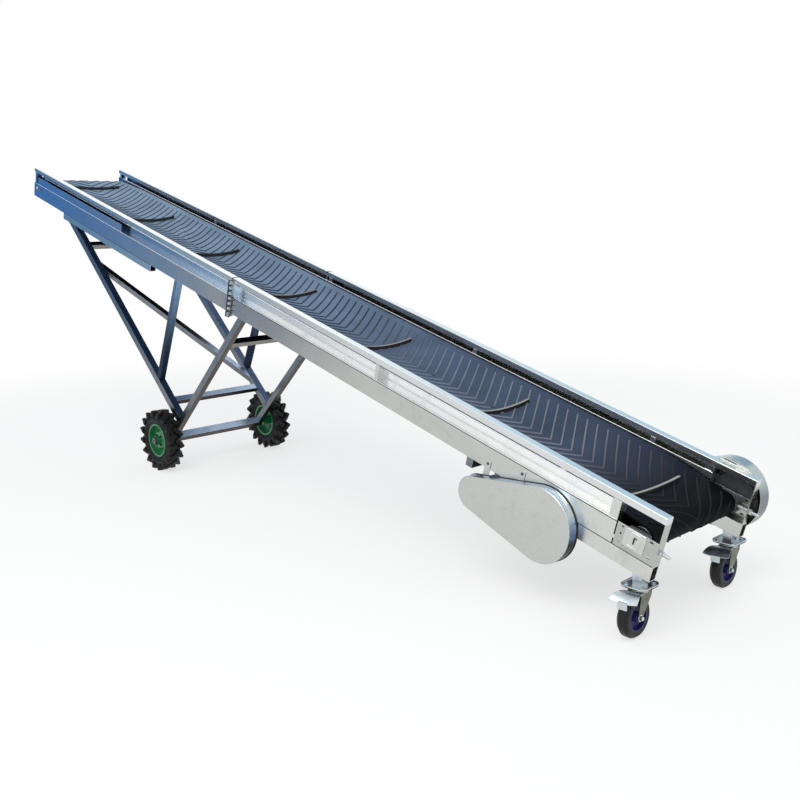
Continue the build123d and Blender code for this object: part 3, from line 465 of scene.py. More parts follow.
@dataclass(frozen=True)
class Tube(Finish):
    """Plated steel tube: painted light and shade on its faces by their slope and height, drawn marks, and
    corners brightened as painted highlights with some wear.
    """

    rough: float = 0.34
    # Painted light and shade: tones by height and by the way each face turns
    high: Triple = (0.215, 0.245, 0.280)
    fade: Spot = (0.35, 1.15)
    rising: Triple = (0.042, 0.074, 0.140)
    rising_low: Triple = (0.060, 0.095, 0.165)
    under: Triple = (0.110, 0.101, 0.090)
    under_low: Triple = (0.085, 0.076, 0.066)
    front_high: Triple = (0.330, 0.312, 0.280)
    front_low: Triple = (0.060, 0.044, 0.036)
    top_high: Triple = (0.012, 0.013, 0.016)
    top_low: Triple = (0.400, 0.500, 0.640)
    face_light_share: float = 1.0

    def shade(self, graph: Graph) -> Channel:
        """Colour before the marks: painted light and shade by each face's slope and height.

        Args:
            graph: The material's nodes.

        Returns:
            The colour.
        """
        # Painted light and shade by height and by face direction
        up, height = graph.facing("Z"), graph.at("Z")
        low = height.step(0.85, 0.65)
        base = graph.mix(height.step(*self.fade), self.colour, self.high)
        front = graph.mix(low, self.front_high, self.front_low)
        under = graph.mix(low, self.under, self.under_low)
        front = graph.mix(up.step(-0.08, -0.25), front, under)
        front = graph.mix(up.step(0.08, 0.25), front, graph.mix(low, self.rising, self.rising_low))
        base = graph.mix(self.face_light_share * graph.facing("X").step(-0.3, -0.7), base, front)
        base = graph.mix(self.face_light_share * up.step(0.75, 0.92), base, graph.mix(low, self.top_high, self.top_low))
        return graph.mix(self.face_light_share * up.step(-0.75, -0.92), base, under)

    def paint(self, graph: Graph) -> None:
        """Fills the graph's shader.

        Args:
            graph: The material's nodes.
        """
        cloud = graph.noise(5.0, 4.0)
        grit = graph.noise(160.0, 3.0)
        patch = graph.noise(22.0, 5.0, None, 0.7).step(0.5, 0.7)
        worn_and_lit_edges = graph.edges(0.0035)
        # Painted highlight with some wear: corners are brightened
        tone = 0.80 + 0.40 * cloud + 0.08 * (grit - 0.5) - 0.18 * patch + 0.9 * worn_and_lit_edges
        graph.set(Base_Color=graph.tint(self.shade(graph), tone), Metallic=1.0)
        graph.set(Roughness=self.rough + 0.14 * patch + 0.10 * (cloud - 0.5) - 0.05 * worn_and_lit_edges)
        graph.set(Normal=graph.bump(0.6 * grit + 0.4 * patch, 0.00008, graph.rounded(0.0025)))


@dataclass(frozen=True)
class Rubber(Finish):
    """Moulded rubber with a fine skin, rubbed edges and pale dust on what looks up."""

    dust: Triple = (0.30, 0.29, 0.27)
    dusty: float = 0.25
    rough: float = 0.62
    grain: float = 420.0
    round_off: float = 0.002
    shine: float = 0.5

    def paint(self, graph: Graph) -> None:
        """Fills the graph's shader.

        Args:
            graph: The material's nodes.
        """
        skin = graph.noise(self.grain, 3.0)
        cloud = graph.noise(9.0, 5.0, None, 0.6)
        speck = graph.noise(70.0, 4.0, None, 0.7)
        powder = (cloud * 0.6 + speck * 0.5).step(0.48, 0.78) * graph.upward() * self.dusty
        rub = graph.edges(self.round_off * 1.6) * (0.25 + 0.5 * speck)
        base = graph.tint(self.colour, 0.72 + 0.56 * cloud)
        base = graph.mix(rub * 0.5, base, tuple(3.2 * c for c in self.colour))
        graph.set(Base_Color=graph.mix(powder, base, self.dust))
        graph.set(Roughness=self.rough + 0.16 * (speck - 0.5) + 0.2 * powder - 0.1 * rub)
        graph.set(Specular_IOR_Level=self.shine)
        graph.set(Normal=graph.bump(0.7 * skin + 0.3 * speck, 0.00022, graph.rounded(self.round_off)))


@dataclass(frozen=True)
class BeltCover(Finish):
    """Belt rubber toned along the run, with painted sheen on the belt, painted light and shade on the ribs
    and grey to black cleat tops, scuffs along the run and rubbed ribs.
    """

    turn: float = SLOPE
    # Tones along the run: painted sheen on the belt, painted light and shade on the ribs, grey to black on
    # the cleat tops
    run_tones: Stops = ()
    dust: Triple = (0.36, 0.38, 0.40)
    rough: float = 0.50
    rubbed: float = 0.22
    shine: float = 0.03
    marks_from: Spot = (-2.76, -2.35)

    def paint(self, graph: Graph) -> None:
        """Fills the graph's shader.

        Args:
            graph: The material's nodes.
        """
        skin = graph.noise(520.0, 2.0)
        cloud = graph.noise(4.0, 4.0)
        scuff = graph.noise(5.0, 5.0, graph.place((1.0, 9.0, 3.0), self.turn), 0.65)
        fine = graph.noise(30.0, 4.0, graph.place((1.0, 5.0, 2.0), self.turn + 8.0), 0.7)
        speck = graph.noise(95.0, 4.0, None, 0.7)
        marks = (0.45 * scuff + 0.30 * fine + 0.25 * speck).step(0.56, 0.70)
        rub = graph.edges(0.003) * (0.3 + 0.6 * speck)
        # Tones along the run: painted sheen on the belt, painted light and shade on the ribs
        base = graph.run(((0.0, self.colour), *self.run_tones))
        # Scuffs and dust fade out towards the tail, which keeps the belt round the tail drum dark
        marks_share = 0.12 + 0.88 * graph.at("X").step(*self.marks_from)
        base = graph.mix(marks_share * (0.16 * marks + self.rubbed * rub), base, self.dust)
        graph.set(Base_Color=graph.tint(base, 0.66 + 0.68 * cloud), Specular_IOR_Level=self.shine)
        graph.set(Roughness=self.rough + 0.16 * marks + 0.10 * (cloud - 0.5))
        graph.set(Normal=graph.bump(0.6 * skin + 0.4 * speck, 0.0002, graph.rounded(0.0016)))


@dataclass(frozen=True)
class Paint(Finish):
    """Glossy paint with a slight orange peel, dust and chipped edges."""

    chip: Triple = (0.20, 0.19, 0.18)
    rough: float = 0.26
    coat: float = 0.4

    def paint(self, graph: Graph) -> None:
        """Fills the graph's shader.

        Args:
            graph: The material's nodes.
        """
        peel = graph.noise(260.0, 2.0)
        cloud = graph.noise(12.0, 4.0)
        speck = graph.noise(110.0, 4.0, None, 0.7)
        chips = graph.edges(0.002) * speck.step(0.56, 0.62)
        grime = (0.5 * cloud + 0.5 * speck).step(0.5, 0.72)
        base = graph.tint(self.colour, 0.82 + 0.36 * cloud)
        base = graph.mix(0.16 * grime, base, (0.12, 0.115, 0.10))
        graph.set(Base_Color=graph.mix(chips, base, self.chip))
        graph.set(Roughness=self.rough + 0.2 * grime + 0.25 * chips, Coat_Weight=self.coat * (1.0 - chips))
        graph.set(Normal=graph.bump(peel - 0.8 * chips, 0.00012, graph.rounded(0.0018)))


@dataclass(frozen=True)
class Plated(Finish):
    """Bright zinc plating or bare turned steel, faintly clouded, with dull rubbed spots."""

    rough: float = 0.3
    cool: Triple = (0.66, 0.70, 0.74)

    def paint(self, graph: Graph) -> None:
        """Fills the graph's shader.

        Args:
            graph: The material's nodes.
        """
        cloud = graph.noise(26.0, 4.0)
        speck = graph.noise(180.0, 4.0, None, 0.7)
        dull = (0.5 * cloud + 0.5 * speck).step(0.5, 0.66)
        worn_and_lit_edges = graph.edges(0.0016)
        base = graph.mix(cloud.step(0.36, 0.64), self.colour, self.cool)
        graph.set(Base_Color=graph.tint(base, 0.92 + 0.12 * worn_and_lit_edges - 0.14 * dull), Metallic=1.0)
        graph.set(Roughness=self.rough + 0.16 * dull)
        graph.set(Normal=graph.bump(speck, 0.00008, graph.rounded(0.0012)))


@dataclass(frozen=True)
class Cast(Finish):
    """Painted or bare casting with a sand-rough skin and greasy dark patches."""

    rough: float = 0.52
    metal: float = 0.35

    def paint(self, graph: Graph) -> None:
        """Fills the graph's shader.

        Args:
            graph: The material's nodes.
        """
        sand = graph.noise(320.0, 4.0, None, 0.7)
        cloud = graph.noise(18.0, 4.0)
        grease = cloud.step(0.5, 0.68)
        worn_and_lit_edges = graph.edges(0.002)
        base = graph.tint(self.colour, 0.8 + 0.3 * sand + 0.6 * worn_and_lit_edges)
        graph.set(Base_Color=graph.mix(0.5 * grease, base, (0.03, 0.028, 0.026)), Metallic=self.metal)
        graph.set(Roughness=self.rough - 0.16 * grease + 0.1 * (sand - 0.5))
        graph.set(Normal=graph.bump(sand, 0.0004, graph.rounded(0.002)))


# Tones along the conveyor and by the slope of a face, most of them painted reflection, highlight, light and
# shade; and the base greys
# Painted reflection on the side beams' webs and strips: light near the tail, greyer towards the middle, blue
# towards the head
WEB_PAINTED_REFLECTION: Stops = ((0.02, (0.68, 0.69, 0.665)), (0.16, (0.57, 0.58, 0.55)), (0.30, (0.54, 0.55, 0.525)),
                  (0.43, (0.40, 0.410, 0.412)), (0.515, (0.42, 0.42, 0.44)), (0.535, (0.66, 0.57, 0.52)),
                  (0.95, (0.34, 0.53, 0.79)))
STRIP_PAINTED_REFLECTION: Stops = ((0.05, (0.93, 0.94, 0.93)), (0.45, (0.88, 0.90, 0.92)), (0.53, (0.62, 0.74, 0.86)),
                    (0.66, (0.34, 0.47, 0.62)), (0.90, (0.18, 0.28, 0.42)))
# Painted light and reflection on the guards' rims: dark on faces that look down, blue at the side, light on
# top
RIM_PAINTED_LIGHT: Stops = ((0.05, (0.010, 0.010, 0.011)), (0.36, (0.030, 0.033, 0.038)), (0.53, (0.22, 0.36, 0.56)),
                   (0.72, (0.80, 0.92, 1.0)), (0.95, (0.66, 0.80, 0.92)))
FAR_RIM_PAINTED_LIGHT: Stops = ((0.05, (0.20, 0.22, 0.21)), (0.36, (0.17, 0.19, 0.20)), (0.53, (0.20, 0.25, 0.28)),
                       (0.72, (0.45, 0.53, 0.54)), (0.95, (0.50, 0.58, 0.60)))
# Painted sheen on the belt: near black at the tail drum, lighter and bluer towards the head
BELT_PAINTED_SHEEN: Stops = ((0.045, (0.005, 0.006, 0.008)), (0.12, (0.044, 0.060, 0.098)),
                   (0.30, (0.064, 0.092, 0.150)), (0.48, (0.135, 0.195, 0.290)),
                   (0.97, (0.235, 0.330, 0.445)))
# Painted light and shade on the ribs: lit near the tail, shaded further up
RIB_PAINTED_LIGHT: Stops = ((0.07, (0.030, 0.033, 0.040)), (0.14, (0.19, 0.21, 0.25)), (0.30, (0.18, 0.21, 0.28)),
                  (0.42, (0.030, 0.040, 0.060)), (0.97, (0.062, 0.090, 0.130)))
# Cleat tops: grey near the tail, black towards the head
CLEAT_RUN: Stops = ((0.10, (0.33, 0.325, 0.30)), (0.45, (0.30, 0.295, 0.275)), (0.60, (0.020, 0.020, 0.022)))
SHEET_GREY: Triple = (0.72, 0.735, 0.735)
GUARD_GREY: Triple = (0.575, 0.588, 0.562)
TUBE_GREY: Triple = (0.190, 0.205, 0.225)
# Painted highlight on the rails' top faces
RAIL_PAINTED_HIGHLIGHT: Stops = ((0.40, SHEET_GREY), (0.90, SHEET_GREY), (0.965, (0.95, 1.0, 1.0)))


class Finishes(Enum):
    """The conveyor's finishes: one for each material slot of the record, and variants of some."""

    SHEET = Sheet("galvanised_sheet", SHEET_GREY)
    # Side beams with painted reflection along the run and painted shade on the joint flanges
    BEAM = Sheet("galvanised_sheet", SHEET_GREY, "_beam", web=WEB_PAINTED_REFLECTION, strip=STRIP_PAINTED_REFLECTION)
    RAIL = Sheet("galvanised_sheet", SHEET_GREY, "_rail", rim=RAIL_PAINTED_HIGHLIGHT)
    PLATE = PressedSheet("galvanised_sheet", (0.645, 0.655, 0.63), "_plate")
    TAIL_PLATE = PressedSheet("galvanised_sheet", (0.49, 0.50, 0.475), "_tail_plate")
    # Bright sheet for rods that paint highlights along bent edges
    LIP = Sheet("galvanised_sheet", (0.96, 0.97, 0.97), "_lip", rough=0.30, wave=0.0005)
    GUARD = PressedSheet("galvanised_sheet", GUARD_GREY, "_guard", rim=RIM_PAINTED_LIGHT)
    FAR_GUARD = PressedSheet("galvanised_sheet", GUARD_GREY, "_far_guard", rim=FAR_RIM_PAINTED_LIGHT)
    TUBE = Tube("tube_steel", TUBE_GREY)
    # Struts and bars with their own painted light and shade by height and face direction
    STRUT = Tube("tube_steel", (0.014, 0.028, 0.055), "_strut", high=(0.26, 0.39, 0.58), fade=(0.75, 1.45),
                 face_light_share=0.0)
    BAR = Tube("tube_steel", TUBE_GREY, "_bar", rising=(0.012, 0.013, 0.016), rising_low=(0.42, 0.53, 0.68),
               under=(0.270, 0.252, 0.225), under_low=(0.060, 0.044, 0.036))
    BELT = BeltCover("belt_rubber", (0.003, 0.003, 0.004), run_tones=BELT_PAINTED_SHEEN)
    RIB = BeltCover("belt_rubber", (0.010, 0.011, 0.013), "_rib", run_tones=RIB_PAINTED_LIGHT, rubbed=0.30)
    CLEAT_CAP = BeltCover("belt_rubber", (0.30, 0.30, 0.285), "_cleat", run_tones=CLEAT_RUN, rough=0.6)
    TYRE = Rubber("tyre_rubber", (0.0055, 0.0055, 0.0058), dusty=0.04, rough=0.5, shine=0.25)
    RIM = Paint("rim_paint", (0.006, 0.175, 0.052))
    CASTER_TYRE = Rubber("caster_rubber", (0.0055, 0.0056, 0.0058), dusty=0.03, rough=0.42, shine=0.3)
    CASTER_HUB = Paint("hub_plastic", (0.010, 0.008, 0.105), rough=0.5, coat=0.04)
    ZINC = Plated("zinc", (0.66, 0.70, 0.71), cool=(0.52, 0.62, 0.70))
    FORK = Plated("zinc", (0.150, 0.160, 0.112), "_fork", cool=(0.235, 0.245, 0.200))
    MOTOR = Paint("motor_paint", (0.10, 0.16, 0.22), rough=0.38)
    IRON = Cast("cast_iron", (0.09, 0.10, 0.11))
    SHAFT = Plated("shaft_steel", (0.56, 0.57, 0.58), rough=0.24)
    DRIVE_BELT = Rubber("drive_belt_rubber", (0.014, 0.014, 0.015), dusty=0.4)


# CAD nodes with a variant of their slot's finish, by how their names start
OWN_FINISHES: Dict[Finishes, Tuple[str, ...]] = {
    Finishes.BEAM: ("side_beam", "recess_cover"),
    Finishes.RAIL: ("rail",),
    Finishes.PLATE: ("tail_channel",),
    Finishes.TAIL_PLATE: ("tail_plate",),
    Finishes.FAR_GUARD: ("drive_guard_far",),
    Finishes.STRUT: ("leg_struts",),
    Finishes.BAR: ("axle", "front_cross_bars", "rear_cross_bar", "leg_diagonal"),
    Finishes.FORK: ("caster_fork",),
}


# Frame of the inclined conveyor
@dataclass(frozen=True)
class Incline:
    """Places on the inclined frame: s along the rail from its tail end, y across, h up from its top."""

    slope: float = math.radians(SLOPE)
    tail_height: float = 0.514

    def matrix(self) -> Matrix:
        """Matrix from places on the frame to the row frame."""
        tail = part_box("rail_near")[0].x
        return Matrix.Translation((tail, 0.0, self.tail_height)) @ Matrix.Rotation(-self.slope, 4, "Y")


INCLINE = Incline().matrix()
ALONG = INCLINE.to_3x3() @ Vector((1.0, 0.0, 0.0))


class Side(Enum):
    """The conveyor's sides, each with the sign of its Y."""

    NEAR = 1
    FAR = -1

    @property
    def label(self) -> str:
        """Ending of the names on this side."""
        return self.name.lower()

    def plane(self, y: float = WEB_SIDE) -> Matrix:
        """Matrix onto the side, y from the middle: X along the rail, Y up from its top, Z outwards."""
        axes = Matrix(((1, 0, 0, 0), (0, 0, self.value, 0), (0, 1, 0, 0), (0, 0, 0, 1)))
        return INCLINE @ Matrix.Translation((0.0, self.value * y, 0.0)) @ axes


# Mesh helpers
class Piece:
    """A mesh under construction that becomes one named piece of the scene."""

    def __init__(self, name: str) -> None:
        """Starts an empty mesh."""
        self.name = name
        self.mesh = bmesh.new()

    def quads(self, rows: Sequence[Sequence[Vector]], closed: bool = False, capped: bool = False) -> None:
        """Skins rows of points of equal length.

        Args:
            rows: The rows, from one end to the other.
            closed: True where each row closes on itself.
            capped: True where the first and last rows get a face.
        """
        lines = [[self.mesh.verts.new(point) for point in row] for row in rows]
        count = len(lines[0])
        for first, second in zip(lines, lines[1:]):
            for k in range(count if closed else count - 1):
                n = (k + 1) % count
                self.mesh.faces.new((first[k], first[n], second[n], second[k]))
        if capped:
            self.mesh.faces.new(lines[0][::-1])
            self.mesh.faces.new(lines[-1])

    def lathe(self, profile: Sequence[Spot], place: Matrix, sides: int = 24) -> None:
        """Turns a profile about its axis; the ends are closed.

        Args:
            profile: Pairs of radius and place along the axis.
            place: Matrix whose Z is the axis.
            sides: Number of sides.
        """
        turns = [2 * math.pi * k / sides for k in range(sides)]
        levels = [([(r * math.cos(t), r * math.sin(t)) for t in turns], z) for r, z in profile]
        self.quads(raised(levels, place), closed=True, capped=True)

    def hoop(self, radius: float, thick: float, place: Matrix, sides: int = 48) -> None:
        """Adds a ring with a round section about the place's Z.

        Args:
            radius: Radius of its middle line.
            thick: Radius of its section.
            place: Matrix at its middle.
            sides: Number of sides.
        """
        turns = [math.radians(60 * m) for m in range(6)]
        section = [Vector((radius + thick * math.cos(t), 0.0, thick * math.sin(t))) for t in turns]
        rows = []
        for k in range(sides + 1):
            spin = place @ Matrix.Rotation(2 * math.pi * (k % sides) / sides, 4, "Z")
            rows.append([spin @ spot for spot in section])
        self.quads(rows, closed=True)

    def slab(self, shape: Sequence[Spot], place: Matrix, thick: float, edge: float = 0.0008) -> None:
        """Adds a plate with a small chamfer round its upper side.

        Args:
            shape: Its outline, anticlockwise in X and Y.
            place: Matrix whose Z is the plate's upward direction.
            thick: Its thickness.
            edge: Size of the chamfer.
        """
        levels = ((shape, 0.0), (shape, thick - edge), (grown(shape, -edge), thick))
        self.quads(raised(levels, place), closed=True, capped=True)

    def band(self, inner: Sequence[Spot], outer: Sequence[Spot], place: Matrix, thick: float) -> None:
        """Adds a flat ring between two outlines of equal length.

        Args:
            inner: Inner outline.
            outer: Outer outline.
            place: Matrix whose Z is the ring's upward direction.
            thick: Its thickness.
        """
        levels = ((outer, 0.0), (outer, thick), (inner, thick), (inner, 0.0), (outer, 0.0))
        self.quads(raised(levels, place), closed=True)

    def finish(self, finish: Finish, body: str, smooth: float = 35.0) -> bpy.types.Object:
        """Makes the object, dresses it and lets it ride.

        Args:
            finish: Its finish.
            body: CAD body that it rides on.
            smooth: Angle in degrees below which edges are shaded smooth.

        Returns:
            The object.
        """
        bmesh.ops.remove_doubles(self.mesh, verts=self.mesh.verts, dist=1e-6)
        bmesh.ops.recalc_face_normals(self.mesh, faces=self.mesh.faces)
        data = bpy.data.meshes.new(self.name)
        self.mesh.to_mesh(data)
        self.mesh.free()
        piece = linked(self.name, data)
        shade(piece, smooth)
        finish.dress(piece)
        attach(piece, body)
        LOG.info("%s: %d faces on %s", self.name, len(data.polygons), body)
        return piece


def linked(name: str, data: bpy.types.ID) -> bpy.types.Object:
    """Adds an object to the scene.

    Args:
        name: Its name.
        data: Its mesh, camera or light.

    Returns:
        The object.
    """
    made = bpy.data.objects.new(name, data)
    bpy.context.scene.collection.objects.link(made)
    return made


def shade(piece: bpy.types.Object, angle: float) -> None:
    """Shades edges below an angle in degrees smooth, and keeps the others sharp."""
    piece.data.shade_smooth()
    piece.data.set_sharp_from_angle(angle=math.radians(angle))


def raised(levels: Sequence[Tuple[Sequence[Spot], float]], place: Matrix) -> List[List[Vector]]:
    """Rows of points from pairs of an outline and its height over a place."""
    return [[place @ Vector((x, y, z)) for x, y in shape] for shape, z in levels]


def grown(shape: Sequence[Spot], by: float) -> List[Spot]:
    """Moves an outline outwards.

    Args:
        shape: The outline, anticlockwise.
        by: Distance.

    Returns:
        The outline that it becomes.
    """
    moved = []
    for k, (x, y) in enumerate(shape):
        before, after = shape[k - 1], shape[(k + 1) % len(shape)]
        run = Vector((after[0] - before[0], after[1] - before[1])).normalized()
        moved.append((x + by * run.y, y - by * run.x))
    return moved


def rounded_box(width: float, height: float, corner: float, steps: int = 5) -> List[Spot]:
    """Outline of a rectangle with rounded corners.

    Args:
        width: Size along X.
        height: Size along Y.
        corner: Radius of its corners.
        steps: Number of steps in a corner.

    Returns:
        The outline, anticlockwise about its middle.
    """
    shape = []
    for quarter, (sx, sy) in enumerate(((1, 1), (-1, 1), (-1, -1), (1, -1))):
        for k in range(steps + 1):
            turn = math.radians(90.0 * quarter + 90.0 * k / steps)
            shape.append((sx * (width / 2 - corner) + corner * math.cos(turn),
                          sy * (height / 2 - corner) + corner * math.sin(turn)))
    return shape


def teardrop(big: Triple, small: Triple, steps: int = 40) -> List[Spot]:
    """Outline round two circles.

    Args:
        big: Place along, height and radius of the larger circle.
        small: The same of the smaller one.
        steps: Number of steps round each.

    Returns:
        The outline, anticlockwise from the larger circle on.
    """
    run = Vector((small[0] - big[0], small[1] - big[1]))
    lean = math.atan2(run.y, run.x)
    wide = math.acos((big[2] - small[2]) / run.length)
    arcs = ((big, lean + wide, lean + 2 * math.pi - wide), (small, lean - wide, lean + wide))
    shape = []
    for (x, y, radius), start, end in arcs:
        for k in range(steps + 1):
            turn = start + (end - start) * k / steps
            shape.append((x + radius * math.cos(turn), y + radius * math.sin(turn)))
    return shape


def aim(place: Vector, axis: Vector) -> Matrix:
    """Matrix at a place whose Z looks along an axis."""
    return Matrix.Translation(place) @ axis.to_track_quat("Z", "Y").to_matrix().to_4x4()


@dataclass(frozen=True)
class Bolt:
    """Hexagon bolt head with a washer, in metres."""

    across: float = 0.013
    head: float = 0.0058
    washer: float = 0.0105
    washer_thick: float = 0.0018
    washer_edge: float = 0.0006
    head_edge: Spot = (0.0012, 0.0009)

    def add(self, piece: Piece, place: Matrix, turn: float = 0.0) -> None:
        """Adds the head to a piece.

        Args:
            piece: Mesh that gets it.
            place: Seat, with Z looking away from it.
            turn: Turn of the head in radians.
        """
        t, r = self.washer_thick, self.across / math.sqrt(3)
        inwards, down = self.head_edge
        top = t + self.head
        washer = [(self.washer, 0.0), (self.washer, t * 0.7), (self.washer - self.washer_edge, t)]
        piece.lathe(washer, place, 20)
        hexagon = place @ Matrix.Rotation(turn, 4, "Z")
        piece.lathe([(r, t * 0.9), (r, top - down), (r - inwards, top)], hexagon, 6)


# Belt
@dataclass(frozen=True)
class BeltLoop:
    """Outer side of the belt's loop, in metres along the rail and below its top."""

    tail_at: float = 0.109
    tail_drop: float = 0.158
    tail_wrap: float = 0.0553
    head_at: float = 5.908
    head_drop: float = 0.150
    head_wrap: float = 0.0683
    run_out: float = 0.020
    trough_start: float = 0.450
    trough_end: float = 5.550
    trough_drop: float = 0.130
    trough_rise: float = 0.064
    half_width: float = 0.325
    return_low: float = 0.192
    return_start: float = 0.700
    return_end: float = 5.300

    @cached_property
    def corners(self) -> List[Triple]:
        """Corners of the middle line, once round from the tail's top.

        Returns:
            The place along, the height and the edges' rise of each.
        """
        tail, head = -self.tail_drop, -self.head_drop
        flat_start, flat_end = self.tail_at + self.run_out, self.head_at - self.run_out
        points = [(self.tail_at, tail + self.tail_wrap, 0.0), (flat_start, tail + self.tail_wrap, 0.0),
                  (self.trough_start, -self.trough_drop, self.trough_rise),
                  (self.trough_end, -self.trough_drop, self.trough_rise),
                  (flat_end, head + self.head_wrap, 0.0)]
        points += self.wrap(self.head_at, head, self.head_wrap, 90.0)
        points += [(flat_end, head - self.head_wrap, 0.0), (self.return_end, -self.return_low, 0.0),
                   (self.return_start, -self.return_low, 0.0), (flat_start, tail - self.tail_wrap, 0.0)]
        return points + self.wrap(self.tail_at, tail, self.tail_wrap, 270.0)

    def wrap(self, s: float, h: float, radius: float, start: float) -> List[Triple]:
        """Points of a half turn round a drum, clockwise from a start angle in degrees."""
        turns = [math.radians(start - 7.5 * k) for k in range(25)]
        return [(s + radius * math.cos(t), h + radius * math.sin(t), 0.0) for t in turns]

    @cached_property
    def ways(self) -> List[float]:
        """Way along the loop to each of its corners, in the corners' order.

        Returns:
            The ways; the last is the length of the loop.
        """
        lengths = [0.0]
        for a, b in zip(self.corners, self.corners[1:]):
            lengths.append(lengths[-1] + math.hypot(b[0] - a[0], b[1] - a[1]))
        return lengths

    def way_to(self, s: float) -> float:
        """Way along the loop to a place on the carrying run."""
        k = next(i for i, corner in enumerate(self.corners) if s <= corner[0])
        return self.ways[k - 1] + (s - self.corners[k - 1][0])

    def at(self, way: float) -> Tuple[Vector, Vector, float]:
        """Place on the loop at a way along it.

        Args:
            way: Way along the loop.

        Returns:
            The middle point, the outward direction and the edges' rise.
        """
        way %= self.ways[-1]
        k = next(i for i in range(1, len(self.ways)) if way <= self.ways[i])
        a, b = self.corners[k - 1], self.corners[k]
        share = (way - self.ways[k - 1]) / max(1e-9, self.ways[k] - self.ways[k - 1])
        s, h, rise = (p + share * (q - p) for p, q in zip(a, b))
        travel = Vector((b[0] - a[0], 0.0, b[1] - a[1])).normalized()
        return Vector((s, 0.0, h)), Vector((-travel.z, 0.0, travel.x)), rise

    def dish(self, rise: float, y: float) -> float:
        """Height of the trough over its middle at a place across, where its edges rise so far."""
        return rise * (y / self.half_width) ** 2


@dataclass(frozen=True)
class BeltRibs:
    """Moulded V ribs all round the belt's loop, their tips on its middle line and towards the tail."""

    loop: BeltLoop = BeltLoop()
    pitch: float = 0.063
    half: float = 0.285
    slant: float = 0.70
    foot: float = 0.010
    crest: float = 0.003
    height: float = 0.005
    shoulder_share: float = 0.62
    crest_share: float = 0.93
    sink: float = 0.0015
    reach: float = 0.018
    least_facing: float = 0.6
    arm_steps: int = 10
    smooth: float = 50.0

    def build(self) -> None:
        """Makes the ribs as one mesh that lies on the belt."""
        belt = NODES["belt"].data
        skin = BVHTree.FromPolygons([v.co for v in belt.vertices], [p.vertices for p in belt.polygons])
        total = self.loop.ways[-1]
        count = round(total / self.pitch)
        piece = Piece("belt_ribs")
        for k in range(count):
            for side in (Side.FAR, Side.NEAR):
                self.arm(piece, skin, total * k / count, side)
        piece.finish(Finishes.RIB.value, "frame", self.smooth)

    def seat(self, skin: BVHTree, spot: Vector, out: Vector) -> Vector:
        """Point on the belt's skin at a spot beside it, or the spot itself where a cleat is in the way."""
        hit, normal, _, _ = skin.ray_cast(spot + self.reach * out, -out, 2 * self.reach)
        return hit if hit and normal.dot(out) > self.least_facing else spot

    def hump(self) -> List[Spot]:
        """Rounded section of a rib.

        Returns:
            Twice the place across the rib and the height at each corner.
        """
        shoulder = 0.5 * (self.foot + self.crest)
        half = [(self.foot, -self.sink), (shoulder, self.shoulder_share * self.height),
                (self.crest, self.crest_share * self.height)]
        return [(-w, h) for w, h in half] + [(0.0, self.height)] + half[::-1]

    def arm(self, piece: Piece, skin: BVHTree, start: float, side: Side) -> None:
        """Adds one arm of a rib, from the middle line to the belt's edge.

        Args:
            piece: Mesh that gets it.
            skin: The belt's own mesh, which the rib lies on.
            start: Way along the loop to the rib's tip.
            side: Side that the arm runs to.
        """
        turn = INCLINE.to_3x3()
        lean = math.hypot(1.0, self.slant)
        rows = []
        for k in range(self.arm_steps + 1):
            y = self.half * k / self.arm_steps
            row = []
            for width, height in self.hump():
                middle, out, rise = self.loop.at(start + self.slant * y + 0.5 * lean * width)
                spot = middle + out * self.loop.dish(rise, y) + Vector((0.0, side.value * y, 0.0))
                row.append(self.seat(skin, INCLINE @ spot, turn @ out) + turn @ out * height)
            rows.append(row)
        piece.quads(rows, closed=True, capped=True)


@dataclass(frozen=True)
class CleatCaps:
    """Tops and side skirts of the carrying run's cross cleats: the tops grey near the tail and black towards
    the head, the skirts black rubber that also paints shade under the tops.
    """

    loop: BeltLoop = BeltLoop()
    first: float = 0.286
    pitch: float = 0.905
    count: int = 7
    half: float = 0.199
    stand: float = 0.020
    sunk: float = 0.0004
    thick: float = 0.0125
    height: float = 0.0012
    flat: float = 0.84
    face_gap: float = 0.0001
    face_thick: float = 0.0006
    face_low: float = 0.0002
    steps: int = 14

    def build(self) -> None:
        """Makes the tops and the faces as two meshes that follow the belt's trough."""
        tops, faces = Piece("cleat_caps"), Piece("cleat_faces")
        x, low = self.thick / 2, -self.face_low
        inner, outer = x + self.face_gap, x + self.face_gap + self.face_thick
        top = ((-x, 0.0), (-x * self.flat, self.height), (x * self.flat, self.height), (x, 0.0))
        face = ((inner, -self.stand), (outer, -self.stand), (outer, low), (inner, low))
        for k in range(self.count):
            s = self.first + k * self.pitch
            self.strip(tops, s, top)
            for end in (-1, 1):
                self.strip(faces, s, [(end * along, up) for along, up in face])
        tops.finish(Finishes.CLEAT_CAP.value, "frame")
        # Black rubber skirts that also paint shade under the cleats' tops
        faces.finish(Finishes.DRIVE_BELT.value, "frame")

    def strip(self, piece: Piece, s: float, section: Sequence[Spot]) -> None:
        """Adds a strip along a cleat.

        Args:
            piece: Mesh that gets it.
            s: Place of the cleat along the rail.
            section: Places along the rail and heights from the cleat's top.
        """
        middle, _, rise = self.loop.at(self.loop.way_to(s))
        rows = []
        for m in range(-self.steps, self.steps + 1):
            y = self.half * m / self.steps
            top = middle.z + self.loop.dish(rise, y) + self.stand - self.sunk
            rows.append([INCLINE @ Vector((s + along, y, top + up)) for along, up in section])
        piece.quads(rows, closed=True, capped=True)


